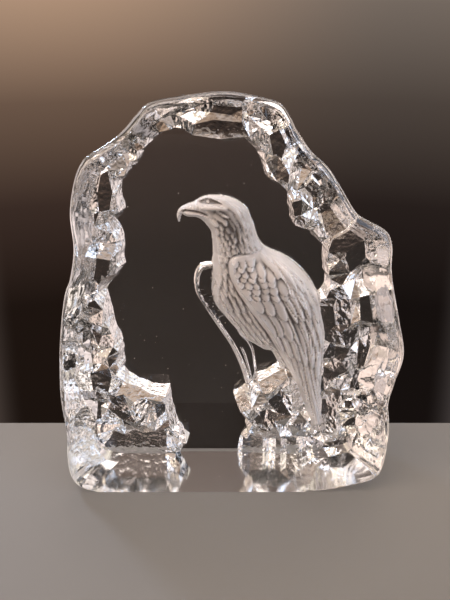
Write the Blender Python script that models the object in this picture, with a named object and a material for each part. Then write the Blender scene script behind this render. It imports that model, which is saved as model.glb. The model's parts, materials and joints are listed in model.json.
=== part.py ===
"""Cast crystal block with an eagle and a rim of rocks sunk into its back.

The block stands on a ground base. Its front face is flat and polished, and the eagle is
seen through it. X runs across the front, Y from the front face to the back, Z up.
"""

import math
import random

import bmesh
import bpy
from mathutils import Vector

# Overall sizes, in metres.
WIDTH = 0.132
HEIGHT = 0.160
BASE_THICKNESS = 0.050
TOP_THICKNESS = 0.040

# The outer wall: a rounded edge at the front face, then a plain band, then a lean inwards.
RIM_RADIUS = 0.003
RIM_STEPS = 3
BAND_DEPTH = 0.008
LEAN_DEPTH = 0.030
LEAN_SIDE = 0.0090
LEAN_TOP = 0.0095
BACK_SIDE = 0.0105
BACK_TOP = 0.0110

# The carving, all measured from the back face into the glass, the least glass left before it,
# and the least share of a pit's depth that a tilted floor keeps.
EAGLE_DEPTH = 0.0150
FAR_WING_DEPTH = 0.0042
FLUTE = 0.035
ROCK_DEPTH = 0.0125
LEAST_GLASS = 0.012
LEAST_SUNK = 0.4
CUTTER_MARGIN = 0.006
SEED = 7

# The carving and the outline are drawn in millimetres on a face of this size.
DRAWN_WIDTH = 132.0
DRAWN_HEIGHT = 160.0
OUTLINE_STEPS = 2

# Left foot, up the left side, over the top and down to the right foot.
OUTLINE = [
    (-56, 0), (-62, 2), (-65, 7), (-65.6, 15), (-65, 27), (-66, 43), (-65, 61), (-63.4, 74),
    (-61, 86.5), (-58.6, 93), (-56.4, 104.5), (-56.7, 118), (-54.2, 130), (-51, 136.6), (-47.5, 139.5),
    (-38, 145.8), (-32, 152.2), (-27.8, 156.1), (-20, 158.1), (-3, 160), (9, 158.4), (16.2, 156.1),
    (20, 151.2), (22.1, 147.2), (27.1, 140.1), (33.1, 134.5), (37.6, 128), (43.7, 118.4), (48.1, 115.2),
    (55.1, 111.2), (57.6, 105.5), (58, 97.5), (59.4, 89.7), (62.8, 75.6), (65.6, 62), (63.2, 50),
    (61.5, 40), (62.7, 30), (62.6, 20), (61.8, 12), (60, 7.2), (55, 4.6), (43, 1.6), (31, 0),
]

# The rocks at the sides and the top: the ragged edge of the clear window in x and z, how far
# that edge slopes outwards, and how deep the rocks lie there beside ROCK_DEPTH.
WINDOW_EDGE = [
    (-46.0, -9, 4, 0.90), (-46.0, 20, 4, 0.90), (-44.0, 44, 3, 1.0), (-43.0, 52.5, 2.5, 1.0),
    (-46.7, 67.6, 2.5, 1.0), (-48.5, 78.3, 2.5, 1.05), (-40.3, 89.5, 3, 1.1), (-40.3, 101.7, 3, 1.1),
    (-42.8, 107.4, 2, 1.0), (-39.5, 111.9, 3, 1.0), (-40.6, 120.2, 3, 0.9), (-34.1, 129.5, 3.5, 0.95),
    (-24.8, 141.2, 2.5, 0.9), (-17.4, 142.3, 2, 0.85), (-14.9, 140.1, 2, 0.9), (-0.2, 137.4, 2.5, 1.0),
    (4.6, 138.6, 2, 1.0), (9.5, 133.7, 2, 1.0), (11.9, 126, 2.5, 1.0), (20, 119.8, 2, 1.0),
    (21.8, 110.6, 2.5, 1.05), (23.1, 106.6, 2, 1.0), (33.5, 99.2, 3, 1.05), (35.3, 92.9, 3, 1.1),
    (38.5, 77, 3, 1.05), (37.1, 73.4, 2, 1.0), (38.2, 58, 2.5, 0.90), (40, 44, 3, 0.85),
    (41, 20, 3, 0.80), (41, -9, 3, 0.80),
]

# A line that stays outside the block, in the same order.
OUTSIDE = [
    (-62, -9), (-62, 40), (-60, 80), (-56, 105), (-54, 128), (-38, 146), (-24, 158), (2, 160),
    (22, 152), (36, 132), (48, 118), (62, 106), (64, 70), (62, 40), (66, 10), (66, -9),
]
RIM_SPANS = (0.36, 0.70)
RIM_UNEVEN = (0.10, 0.30, 0.22)

# The crags at the feet of the rim: corners, depth beside ROCK_DEPTH, slope of the sides, and
# how the floor tilts along X and Z.
CRAGS = {
    "left_mound": (
        [
            (-74, -9), (-23, -9), (-22, 14), (-25.2, 30), (-26, 34.3), (-33, 35.5), (-42, 40.6),
            (-48, 46), (-74, 46),
        ],
        0.85, 7.0, -0.12, 0.0,
    ),
    "left_toe": (
        [(-34, -9), (-21.4, -9), (-21.4, 0.8), (-17.7, 9.6), (-21.9, 15.8), (-34, 19)],
        0.75, 4.0, 0.0, 0.06,
    ),
    "right_crag": (
        [(1.0, 30.8), (9.4, 36.2), (14.4, 41), (19.3, 45.8), (53, 55), (53, 14), (6, 14), (4.3, 21.3)],
        0.66, 5.0, 0.14, 0.10,
    ),
    "right_toe": (
        [(3, -9), (2.8, 0.8), (7.6, 12.7), (11, 22), (52, 23), (56, -9)],
        0.54, 4.0, 0.12, -0.06,
    ),
}

# Hewn hollows in the rocks: x, z, length, width, turn in degrees, depth beside ROCK_DEPTH,
# and how the floor tilts along X and Z. The level ones are clear to look through.
HOLLOWS = [
    (-46.5, 121, 17, 5, 97, 1.30, 0, 0), (-53.5, 107.5, 10, 6, 80, 1.30, 0, 0),
    (-50, 89.5, 14, 9, 60, 1.45, 0, 0), (-53.5, 71.5, 13, 8, 95, 1.45, 0.1, 0),
    (-54, 51.5, 17, 9, 10, 1.30, 0.2, -0.2), (-53, 39.5, 14, 8, 35, 1.30, 0, 0.15),
    (-43, 16, 28, 26, 10, 1.12, -0.12, 0), (-56, 14, 22, 9, 92, 1.45, -0.2, 0.1),
    (-21, 147.5, 11, 9, 0, 1.20, 0.1, 0.1), (-3, 144, 20, 6, -5, 1.40, 0, 0),
    (-2, 151.5, 12, 5, -12, 1.20, 0, 0), (16.5, 138.5, 11, 7, -60, 1.35, 0, 0),
    (15, 128, 14, 6, -60, 1.40, 0, 0), (24.5, 114.5, 10, 5, -70, 1.40, 0, 0),
    (31, 111, 10, 8, -20, 1.35, 0.1, 0.1), (44, 92.5, 10, 6, 80, 1.35, 0, 0),
    (50, 99, 15, 10, -50, 1.40, 0, 0), (54.5, 73.5, 14, 9, 60, 1.40, 0, 0),
    (48, 59, 16, 12, 20, 1.30, 0.2, -0.2), (48, 43, 14, 11, -60, 1.35, -0.2, 0.1),
    (49, 30, 10, 8, 30, 1.35, 0, 0), (54, 9, 12, 8, 80, 1.25, 0, 0),
    (14, 25, 13, 8, 60, 0.95, 0.2, 0.1), (12, 6, 12, 9, 10, 0.85, 0, -0.2),
    (57, 20, 14, 8, 85, 1.45, 0.15, 0), (-40, 133, 15, 8, 55, 1.20, 0.2, -0.25),
    (36, 122, 12, 8, -55, 1.30, -0.2, 0.2), (-52, 98, 10, 8, 20, 1.30, 0.2, -0.2),
]
HOLLOW_SIDES = (4, 5, 6)
HOLLOW_UNEVEN = 0.2
HOLLOW_TOP = 0.40

# Cross-sections of the carved bird, from end to end: the two edges (x, z) and (x, z) of
# the section on the back face, and its depth beside EAGLE_DEPTH.
HEAD_AND_BODY = [
    (-14.6, 108.0, -14.9, 113.4, 0.18), (-12.4, 107.4, -12.6, 115.8, 0.34),
    (-10.6, 106.6, -9.6, 117.2, 0.44), (-8.9, 104.8, -5.0, 117.8, 0.54),
    (-7.6, 102.2, 1.2, 116.0, 0.60), (-7.0, 98.0, 6.4, 111.4, 0.62), (-7.0, 94.0, 8.4, 105.3, 0.64),
    (-7.4, 90.0, 10.2, 99.8, 0.68), (-7.8, 84.0, 15.6, 95.0, 0.76), (-7.8, 77.8, 25.0, 89.5, 0.88),
    (-6.4, 72.6, 31.2, 82.8, 0.96), (-3.2, 67.5, 35.4, 74.7, 1.0), (1.7, 61.2, 38.3, 65.3, 1.0),
    (6.7, 56.1, 39.3, 56.0, 0.97), (13.3, 51.9, 39.1, 49.6, 0.90), (19.0, 48.0, 38.8, 43.5, 0.80),
    (24.5, 41.0, 38.6, 37.2, 0.72), (29.5, 28.9, 39.0, 28.9, 0.62), (33.6, 18.0, 39.5, 20.4, 0.50),
    (36.2, 12.4, 38.6, 13.2, 0.30),
]
BEAK = [
    (-13.8, 108.2, -13.8, 113.6, 0.26), (-16.6, 108.2, -16.5, 113.0, 0.24),
    (-18.3, 108.8, -18.7, 111.9, 0.20), (-18.9, 108.6, -20.1, 110.2, 0.16),
    (-19.3, 107.6, -20.1, 108.0, 0.12), (-19.7, 106.6, -19.9, 106.7, 0.05),
]
NEAR_WING = [
    (0.6, 94.2, 8.0, 95.6, 0.58), (-0.8, 91.8, 15.0, 94.6, 0.80), (-1.1, 87.4, 22.6, 91.0, 0.98),
    (0.4, 83.2, 27.6, 86.6, 1.06), (2.4, 79.6, 31.8, 80.8, 1.10), (5.2, 75.4, 35.0, 74.8, 1.12),
    (8.0, 71.0, 37.2, 67.8, 1.12), (11.2, 66.6, 38.6, 61.0, 1.09), (15.0, 61.2, 38.8, 54.4, 1.04),
    (18.6, 54.0, 38.6, 48.4, 0.96), (22.6, 47.4, 38.3, 41.8, 0.92), (26.0, 40.4, 38.2, 35.6, 0.88),
    (30.4, 28.4, 38.4, 27.0, 0.84), (34.2, 18.4, 38.8, 18.4, 0.78), (36.4, 13.6, 38.0, 13.8, 0.66),
]
FAR_WING = [
    (-11.6, 89.4, -6.6, 89.6, 0.80), (-13.9, 86.0, -5.6, 86.0, 1.0), (-14.4, 80.6, -5.2, 79.0, 1.05),
    (-12.9, 74.3, -3.6, 72.0, 1.10), (-10.4, 69.6, -1.0, 67.6, 1.10), (-7.2, 64.2, 2.0, 62.6, 1.10),
    (-4.0, 59.0, 4.6, 58.0, 1.10), (-0.8, 53.6, 7.0, 53.6, 1.05), (1.8, 48.4, 8.6, 48.6, 1.0),
    (4.0, 42.8, 9.4, 43.0, 0.95), (5.6, 37.6, 9.6, 38.6, 0.85), (6.6, 34.8, 8.8, 35.4, 0.60),
]
LEG = [
    (6.5, 57.0, 15.0, 52.0, 1.7), (8.4, 52.6, 14.4, 49.4, 1.5), (9.6, 48.0, 13.6, 46.0, 1.3),
    (9.8, 44.0, 12.8, 42.8, 1.1), (8.6, 41.4, 13.2, 39.6, 1.1), (9.6, 39.6, 12.4, 38.6, 0.7),
]

# Points round a section of each form, and how full the section is: 2 is round, more is squarer.
SMALL_FORM_POINTS = 12
BODY_POINTS = 20
WING_POINTS = 28
ROUND = 2.0
FULL = 2.4
SQUARE = 3.0

MM_ACROSS = WIDTH / DRAWN_WIDTH
MM_UP = HEIGHT / DRAWN_HEIGHT


def place(x, z):
    """A point of the drawing, in metres."""
    return x * MM_ACROSS, z * MM_UP


def thickness_at(z):
    """How far the leaning back face lies behind the front face at this height."""
    return BASE_THICKNESS + (TOP_THICKNESS - BASE_THICKNESS) * z / HEIGHT


def smooth_line(points, steps):
    """An open Catmull-Rom line through the points, with this many steps to each stretch."""
    ends = [points[0], *points, points[-1]]
    line = []
    for before, start, end, after in zip(ends, ends[1:], ends[2:], ends[3:]):
        for step in range(steps):
            t = step / steps
            line.append(tuple(
                b + 0.5 * t * (c - a + t * (2 * a - 5 * b + 4 * c - d + t * (3 * b - a - 3 * c + d)))
                for a, b, c, d in zip(before, start, end, after)
            ))
    return [*line, tuple(points[-1])]


def block_outline():
    """The outline in metres, made to measure WIDTH by HEIGHT, with its foot on Z = 0."""
    line = [(x, max(z, 0.0)) for x, z in smooth_line(OUTLINE, OUTLINE_STEPS)]
    left, right = min(x for x, _ in line), max(x for x, _ in line)
    top = max(z for _, z in line)
    middle = (left + right) / 2
    return [((x - middle) * WIDTH / (right - left), z * HEIGHT / top) for x, z in line]


def loft(name, rings):
    """A closed solid through rings of equally many points, capped at both ends."""
    mesh_builder = bmesh.new()
    loops = [[mesh_builder.verts.new(point) for point in ring] for ring in rings]
    count = len(loops[0])
    mesh_builder.faces.new(loops[0])
    mesh_builder.faces.new(reversed(loops[-1]))
    for loop, following in zip(loops, loops[1:]):
        for i in range(count):
            j = (i + 1) % count
            mesh_builder.faces.new((loop[i], following[i], following[j], loop[j]))
    bmesh.ops.recalc_face_normals(mesh_builder, faces=mesh_builder.faces)
    mesh = bpy.data.meshes.new(name)
    mesh_builder.to_mesh(mesh)
    mesh_builder.free()
    return bpy.data.objects.new(name, mesh)


def block_body():
    """The plain block: the outline swept from the front face to the leaning back face."""
    outline = block_outline()
    sections = []
    for step in range(RIM_STEPS + 1):
        angle = math.pi / 2 * step / RIM_STEPS
        inset = RIM_RADIUS * (1 - math.sin(angle))
        sections.append((RIM_RADIUS * (1 - math.cos(angle)), inset, inset))
    sections.append((BAND_DEPTH, 0.0, 0.0))
    sections.append((LEAN_DEPTH, LEAN_SIDE, LEAN_TOP))
    rings = [section_ring(outline, side, top, depth) for depth, side, top in sections]
    rings.append(section_ring(outline, BACK_SIDE, BACK_TOP, None))
    return loft("crystal_block", rings)


def section_ring(outline, side_inset, top_inset, depth):
    """The outline drawn in by the insets. With no depth it lies on the back face."""
    across = 1 - side_inset / (WIDTH / 2)
    up = 1 - top_inset / HEIGHT
    ring = []
    for x, z in outline:
        z *= up
        y = thickness_at(z) if depth is None else depth
        ring.append(Vector((x * across, y, z)))
    return ring


def pit(name, corners, depth, slope, tilt_x, tilt_z):
    """A cutter for a pit with flat sides: corners on the back face, depth in metres.

    Each corner moves by slope towards the middle on its way to the floor.
    """
    points = [Vector(place(x, z)) for x, z in corners]
    middle = sum(points, Vector((0, 0))) / len(points)
    mouth, floor = [], []
    for point in points:
        inward = (middle - point).normalized() * slope
        wide = point - inward * CUTTER_MARGIN / depth
        low = point + inward
        sunk = depth + tilt_x * (low.x - middle.x) + tilt_z * (low.y - middle.y)
        back = thickness_at(low.y)
        sunk = min(max(sunk, depth * LEAST_SUNK), back - LEAST_GLASS)
        mouth.append(Vector((wide.x, thickness_at(wide.y) + CUTTER_MARGIN, wide.y)))
        floor.append(Vector((low.x, back - sunk, low.y)))
    return loft(name, [mouth, floor])


def marks_along(line):
    """How far along an open line each of its points lies, from 0 to 1."""
    marks = [0.0]
    for start, end in zip(line, line[1:]):
        marks.append(marks[-1] + math.dist(start, end))
    return [mark / marks[-1] for mark in marks]


def point_along(line, share):
    """The point that lies this share of the way along an open line."""
    marks = marks_along(line)
    for start, end, low, high in zip(line, line[1:], marks, marks[1:]):
        if share <= high:
            return Vector(start).lerp(Vector(end), (share - low) / (high - low))
    return Vector(line[-1])


def rim_cutter():
    """The uneven rocks around the window: a strip that runs from its edge out past the wall."""
    dice = random.Random(SEED)
    edge = [place(x, z) for x, z, _, _ in WINDOW_EDGE]
    outside = [place(x, z) for x, z in OUTSIDE]
    rings = []
    for (_, _, slope, deep), corner, share in zip(WINDOW_EDGE, edge, marks_along(edge)):
        corner, outer = Vector(corner), point_along(outside, share)
        outward = outer - corner
        across = (slope * MM_ACROSS / outward.length, *RIM_SPANS)
        sunk = [ROCK_DEPTH * deep * (1 + dice.uniform(-uneven, uneven)) for uneven in RIM_UNEVEN]
        lip = corner - outward.normalized() * slope * MM_ACROSS * CUTTER_MARGIN / sunk[0]
        ring = [(lip, -CUTTER_MARGIN)]
        ring += [(corner + outward * reach, depth) for reach, depth in zip(across, sunk)]
        ring += [(outer, sunk[-1]), (outer, -CUTTER_MARGIN)]
        rings.append([Vector((flat.x, thickness_at(flat.y) - depth, flat.y)) for flat, depth in ring])
    return loft("rim", rings)


def crag_pits():
    """The crags at the feet of the rim."""
    return [
        pit(name, corners, ROCK_DEPTH * deep, slope * MM_ACROSS, tilt_x, tilt_z)
        for name, (corners, deep, slope, tilt_x, tilt_z) in CRAGS.items()
    ]


def hollow_pits():
    """The hollows in the rocks, each with its own number of sides."""
    dice = random.Random(SEED)
    pits = []
    for number, (x, z, length, width, turn, deep, tilt_x, tilt_z) in enumerate(HOLLOWS, 1):
        sides = dice.choice(HOLLOW_SIDES)
        turned = math.radians(turn)
        corners = []
        for corner in range(sides):
            angle = 2 * math.pi * (corner + dice.uniform(-HOLLOW_UNEVEN, HOLLOW_UNEVEN)) / sides
            along, aside = length / 2 * math.cos(angle), width / 2 * math.sin(angle)
            corners.append((
                x + along * math.cos(turned) - aside * math.sin(turned),
                z + along * math.sin(turned) + aside * math.cos(turned),
            ))
        slope = width / 2 * MM_ACROSS * HOLLOW_TOP
        pits.append(pit(f"hollow_{number:02d}", corners, ROCK_DEPTH * deep, slope, tilt_x, tilt_z))
    return pits


def relief(name, stations, depth, ring_points, fullness, flute=0.0):
    """A cutter for a carved form: a loft through rounded sections across the back face.

    Every other point of a fluted form stands lower, which makes ribs along it.
    """
    rings = []
    for left_x, left_z, right_x, right_z, share in stations:
        left, right = Vector(place(left_x, left_z)), Vector(place(right_x, right_z))
        middle, half = (left + right) / 2, (right - left) / 2
        ring = []
        for i in range(ring_points):
            angle = 2 * math.pi * i / ring_points
            across = math.copysign(abs(math.cos(angle)) ** (2 / fullness), math.cos(angle))
            rise = abs(math.sin(angle)) ** (2 / fullness)
            flat = middle + half * across
            if i <= ring_points / 2:
                sunk = depth * share * rise * (1 - flute * (i % 2))
            else:
                sunk = -CUTTER_MARGIN * rise
            ring.append(Vector((flat.x, thickness_at(flat.y) - sunk, flat.y)))
        rings.append(ring)
    return loft(name, rings)


def eagle_forms():
    """The bird, perched in profile and facing left, with its far wing behind it."""
    return [
        relief("far_wing", FAR_WING, FAR_WING_DEPTH, SMALL_FORM_POINTS, SQUARE),
        relief("leg", LEG, FAR_WING_DEPTH, SMALL_FORM_POINTS, FULL),
        relief("head_and_body", HEAD_AND_BODY, EAGLE_DEPTH, BODY_POINTS, FULL),
        relief("beak", BEAK, EAGLE_DEPTH, SMALL_FORM_POINTS, ROUND),
        relief("near_wing", NEAR_WING, EAGLE_DEPTH, WING_POINTS, SQUARE, FLUTE),
    ]


def crystal_material():
    """Clear full-lead crystal."""
    material = bpy.data.materials.new("clear_crystal")
    material.use_nodes = True
    shader = material.node_tree.nodes["Principled BSDF"]
    shader.inputs["Base Color"].default_value = (0.93, 0.94, 0.95, 1.0)
    shader.inputs["Roughness"].default_value = 0.02
    shader.inputs["IOR"].default_value = 1.54
    shader.inputs["Transmission Weight"].default_value = 1.0
    return material


def collection(name):
    """A new collection in the scene."""
    made = bpy.data.collections.new(name)
    bpy.context.scene.collection.children.link(made)
    return made


def carve(block, cutters, shelf):
    """Cuts all the forms out of the block's back at once and keeps them, hidden, on the shelf."""
    for cutter in cutters:
        shelf.objects.link(cutter)
        cutter.display_type = "WIRE"
        cutter.hide_render = True
    cut = block.modifiers.new("carving", "BOOLEAN")
    cut.operation = "DIFFERENCE"
    cut.operand_type = "COLLECTION"
    cut.collection = shelf


def main():
    for old in list(bpy.data.objects):
        bpy.data.objects.remove(old)
    shown = collection("glass_eagle_sculpture")
    shelf = collection("cutters")
    block = block_body()
    shown.objects.link(block)
    block.data.materials.append(crystal_material())
    carve(block, [rim_cutter(), *crag_pits(), *hollow_pits(), *eagle_forms()], shelf)
    # The origin is under the middle of the block.
    for part in (*shown.objects, *shelf.objects):
        part.location.y = -BASE_THICKNESS / 2


main()
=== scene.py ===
import bisect
import json
import math
import random

import bmesh
import bpy
import numpy as np
from bpy.props import FloatProperty, FloatVectorProperty, IntProperty, PointerProperty, StringProperty
from mathutils import Matrix, Vector
from mathutils.geometry import delaunay_2d_cdt

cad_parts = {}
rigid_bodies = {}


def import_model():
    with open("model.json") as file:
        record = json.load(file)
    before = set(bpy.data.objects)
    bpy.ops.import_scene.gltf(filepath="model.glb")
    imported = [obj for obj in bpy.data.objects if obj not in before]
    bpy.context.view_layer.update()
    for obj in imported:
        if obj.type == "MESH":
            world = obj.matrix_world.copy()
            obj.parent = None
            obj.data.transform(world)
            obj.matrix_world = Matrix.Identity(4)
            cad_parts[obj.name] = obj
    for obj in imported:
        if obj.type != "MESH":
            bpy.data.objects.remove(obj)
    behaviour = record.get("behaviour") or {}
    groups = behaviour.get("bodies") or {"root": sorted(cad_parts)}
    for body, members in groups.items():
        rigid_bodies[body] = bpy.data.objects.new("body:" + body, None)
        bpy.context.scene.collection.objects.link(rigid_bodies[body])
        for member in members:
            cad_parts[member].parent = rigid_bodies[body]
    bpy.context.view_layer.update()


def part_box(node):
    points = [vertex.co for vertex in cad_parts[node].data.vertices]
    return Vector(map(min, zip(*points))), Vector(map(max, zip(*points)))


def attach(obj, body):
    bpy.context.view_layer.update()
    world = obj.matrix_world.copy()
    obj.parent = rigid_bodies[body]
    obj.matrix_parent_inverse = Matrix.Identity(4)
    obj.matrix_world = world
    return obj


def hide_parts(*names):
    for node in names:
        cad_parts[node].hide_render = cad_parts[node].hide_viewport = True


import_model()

bl_info = {
    "name": "Carved Crystal Eagle",
    "version": (1, 0, 0),
    "blender": (4, 5, 0),
    "location": "View3D > Sidebar > Crystal Eagle",
    "description": "A cast crystal block with a frosted eagle and broken rocks sunk into its back",
    "category": "Add Mesh",
}

MM = 0.001
BLOCK_LOW, BLOCK_HIGH = (Vector(corner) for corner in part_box("crystal_block"))
WIDTH, BASE_THICKNESS, HEIGHT = BLOCK_HIGH - BLOCK_LOW

# The kinds of surface, numbered as the block's material slots are.
POLISHED, ROCK, FROSTED, SKIN, DUST, GROUND = range(6)

# The carving is drawn in millimetres on a face of this size, with X across and Z up.
DRAWN_WIDTH = 132.0
DRAWN_HEIGHT = 160.0

# The block's outline from its left foot, up the left side, over the top and down to its right foot.
OUTLINE = [
    (-56, 0), (-62, 2), (-65, 7), (-65.6, 15), (-65, 27), (-66, 43), (-65, 61), (-63.4, 74),
    (-61, 86.5), (-58.6, 93), (-56.4, 104.5), (-56.7, 118), (-54.2, 130), (-51, 136.6),
    (-47.5, 139.5), (-38, 145.8), (-32, 152.2), (-27.8, 156.1), (-20, 158.1), (-3, 160),
    (9, 158.4), (16.2, 156.1), (20, 151.2), (22.1, 147.2), (27.1, 140.1), (33.1, 134.5),
    (37.6, 128), (43.7, 118.4), (48.1, 115.2), (55.1, 111.2), (57.6, 105.5), (58, 97.5),
    (59.4, 89.7), (62.8, 75.6), (65.6, 62), (63.2, 50), (61.5, 40), (62.7, 30), (62.6, 20),
    (61.8, 12), (60, 7.2), (55, 4.6), (43, 1.6), (31, 0),
]

# The ragged edge of the clear window, from its left foot over the top to its right foot.
WINDOW_EDGE = [
    (-21.5, -9), (-21.5, 1), (-19.5, 6), (-17.5, 9.5), (-20, 12), (-22, 16), (-23.5, 20.5), (-24.5, 25.5),
    (-25, 30.5), (-25.5, 34.5), (-33, 35), (-38, 37.5), (-42, 40.5), (-43.5, 43), (-43, 47.5), (-43, 52.5),
    (-43.5, 56.5), (-45.5, 62), (-46.5, 67.5), (-47.5, 73.5), (-48.5, 78.5), (-46, 82), (-43, 86),
    (-40.5, 89.5), (-40.5, 96.5), (-40.5, 101.5), (-41.5, 105), (-43, 107.5), (-41, 109.5), (-39.5, 112),
    (-40.5, 117), (-40.5, 120), (-40, 123), (-37.5, 126), (-34, 129.5), (-32.5, 132), (-30, 136),
    (-26, 140), (-25, 141), (-21.5, 142), (-17.5, 142.5), (-15, 140), (-12.5, 139.5), (-4, 138),
    (0, 137.5), (4.5, 138.5), (7.5, 136), (9.5, 133.5), (11, 130.5), (12, 126), (13, 124), (17, 121.5),
    (20, 120), (21, 117.5), (21, 114), (22, 110.5), (23, 106.5), (26, 105), (29.5, 103), (33.5, 99),
    (35.5, 96.5), (35.5, 93), (36, 89), (37, 85), (37, 81), (34, 77), (33, 73.5), (33, 66), (32, 58),
    (30, 51), (25, 47.5), (19.5, 46), (17, 43), (14.5, 41), (11, 40), (9.5, 36), (5.5, 34), (1, 31),
    (2.5, 27), (4.5, 21.5), (6.5, 17), (7.5, 12.5), (4.5, 9), (3.5, 5), (3, 1), (3, -9),
]

# A frame well outside the block, which the rocks' cutter runs out to.
OUTSIDE = [(76, -9), (76, 170), (-76, 170), (-76, -9)]

# The chips along the window's edge: their length, how far they jut to either side, and the least
# and greatest width of the slope behind them.
CHIP_LENGTH = 2.6
CHIP_JOG = 0.55
EDGE_SLOPES = (1.2, 3.4)

# The spacing of the boulders in the rocks, and of the loose corners between them, and how many
# places are tried for each.
BOULDER = 8.5
LOOSE = 4.8
TRIES = 5000

# The wall behind the front edge: depth, how far it stands in at the sides and at the top, and
# how much of its unevenness it has there. The last row lies on the back face.
WALL = [
    (7, 0.2, 0.9, 0.0),
    (13, 1.4, 2.4, 0.5),
    (24, 5.2, 5.8, 1.0),
    (36, 9.2, 9.6, 1.0),
    (None, 10.5, 11.0, 1.2),
]

# The least and greatest width of the wall's hewn facets, and the heights between which they
# grow out of its smooth foot.
WALL_FACET = (5.5, 13.0)
WALL_FOOT = (3.0, 12.0)

# What faces down below this height, in metres, is ground like the underside.
GROUND_HEIGHT = 0.010

# Faces that meet at more than this angle keep a sharp edge between them.
SHARP_ANGLE = math.radians(40)

# How far the rocks rise to the wall, where that starts inside the outline, and over what width.
WALL_RISE = 5.0
WALL_INSET = 8.0
WALL_SLOPE = 9.0

# Under this height the rocks get shallower, down to this share of their depth at the foot.
FOOT_HEIGHT = 6.5
FOOT_SHARE = 0.18

# Beside the bird the rocks keep this share of their depth, up to this far away.
BIRD_SHARE = 0.6
BIRD_REACH = 5.0

# Level or tilted faces in the rocks: corners, depth beside the depth of the rocks, and how
# the face tilts along X and Z. The level ones are clear to look through.
FACES = [
    ([(-48.5, 113.5), (-44.5, 114), (-43, 121), (-44.5, 129), (-47, 127.5), (-48.5, 121)], 1.15, 0, 0),
    ([(-55.5, 104), (-51.5, 103), (-50.5, 107.5), (-52, 111.5), (-55, 111)], 1.15, 0, 0),
    ([(-54, 88), (-50.5, 84), (-46.5, 87.5), (-45.5, 94), (-50.5, 95)], 1.2, 0, 0),
    ([(-57, 67), (-50.5, 66), (-49.5, 73), (-52.5, 77.5), (-56.5, 75)], 1.2, 0.05, 0),
    ([(-58.5, 36), (-50, 34), (-48, 42), (-54, 45), (-58.5, 43)], 1.1, 0, 0.1),
    ([(-13.5, 142), (-4, 140.5), (6.5, 141.5), (4, 146.5), (-6, 147.5), (-12.5, 146)], 1.15, 0, 0.08),
    ([(-7, 150), (0, 149), (4, 151), (1, 154), (-5.5, 153.5)], 1.1, 0, 0.08),
    ([(13.5, 142), (15, 134.5), (18, 133.5), (19.5, 138.5), (17, 144)], 1.15, 0, 0.05),
    ([(12.5, 132), (16.5, 125), (20.5, 121.5), (21, 127.5), (16, 135)], 1.15, 0, 0),
    ([(22.5, 117), (23.5, 111), (26, 112), (26, 118)], 1.15, 0, 0),
    ([(44.5, 106), (52, 103), (54.5, 99), (50, 93), (45.5, 88.5), (43.5, 97)], 1.1, 0, 0),
    ([(50, 78.5), (51, 68.5), (58, 67), (59, 76), (55, 80)], 1.15, 0.05, 0),
    ([(46, 33.5), (47, 27), (52, 27), (52, 33)], 1.1, 0, 0),
    ([(52, 10.5), (52.5, 2), (56.5, 1.5), (56.5, 10)], 1.1, 0, 0),
    # The mound at the left foot: its light face and its shelf.
    ([(-39.8, 30.5), (-34.5, 31), (-34, 24), (-36, 17.5), (-39.5, 20)], 1.0, -0.6, 0.1),
    ([(-44, 37), (-38, 35.8), (-33, 33.4), (-27, 32.6), (-28, 30.8), (-36, 31.8), (-44, 33)], 0.9, 0.1, -1.3),
    # The rock that the bird stands on: its top faces and the columns beside the tail.
    ([(2.2, 30.4), (5.8, 33.4), (9.8, 36.6), (12.5, 33.5), (9, 27.5), (4.4, 26)], 0.85, 0.1, -1.2),
    ([(11.6, 38.6), (17, 41.4), (22, 44), (23.5, 40.6), (17, 35.5), (13.6, 34.5)], 0.9, 0.2, -1.2),
    ([(24, 39), (29.5, 38.5), (30.5, 32.5), (25.5, 31.5)], 1.0, -0.6, 0.1),
    ([(40.5, 24), (44.5, 25), (45, 11), (40.5, 9)], 1.0, 0.55, 0),
    ([(41.5, 77), (46.5, 77.5), (47.5, 66.5), (42, 65)], 1.0, 0.55, 0.1),
]

# The foot of the right rocks is fluted: low x, high x, height, and the least and greatest depth.
FLUTES = (5.5, 51.0, 8.5, 0.6, 4.0)

# The low slab under the left mound: low x, high x, height, and the least and greatest depth.
# Its corners are this far apart, and closer along Z, which draws it in long level streaks.
SLAB = (-53.0, -27.5, 12.5, 2.32, 2.54)
SLAB_GAP = 1.7
SLAB_STRETCH = 0.3
SLAB_TRIES = 600

# Where the rocks are broken small: low x, high x, low z, high z, the spacing of their corners,
# how many times longer than wide the pieces stand, or lie where that is under 1, and how uneven
# they are.
BROKEN_SMALL = [
    (-62, -46, 46, 60, 3.6, 1.0, 1.0), (-27, -14, 141, 154, 3.8, 1.0, 1.0),
    (24, 38, 104, 118, 3.8, 1.4, 1.0), (38, 58, 28, 64, 3.6, 2.2, 1.0), (4, 40, 12, 44, 4.6, 1.3, 1.0),
    (3, 60, -9, 12, 4.2, 2.5, 1.0), (-57, -28, 2, 20, 3.0, 0.3, 1.0), (-57, -40, 20, 33, 3.0, 0.6, 1.0),
]

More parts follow.
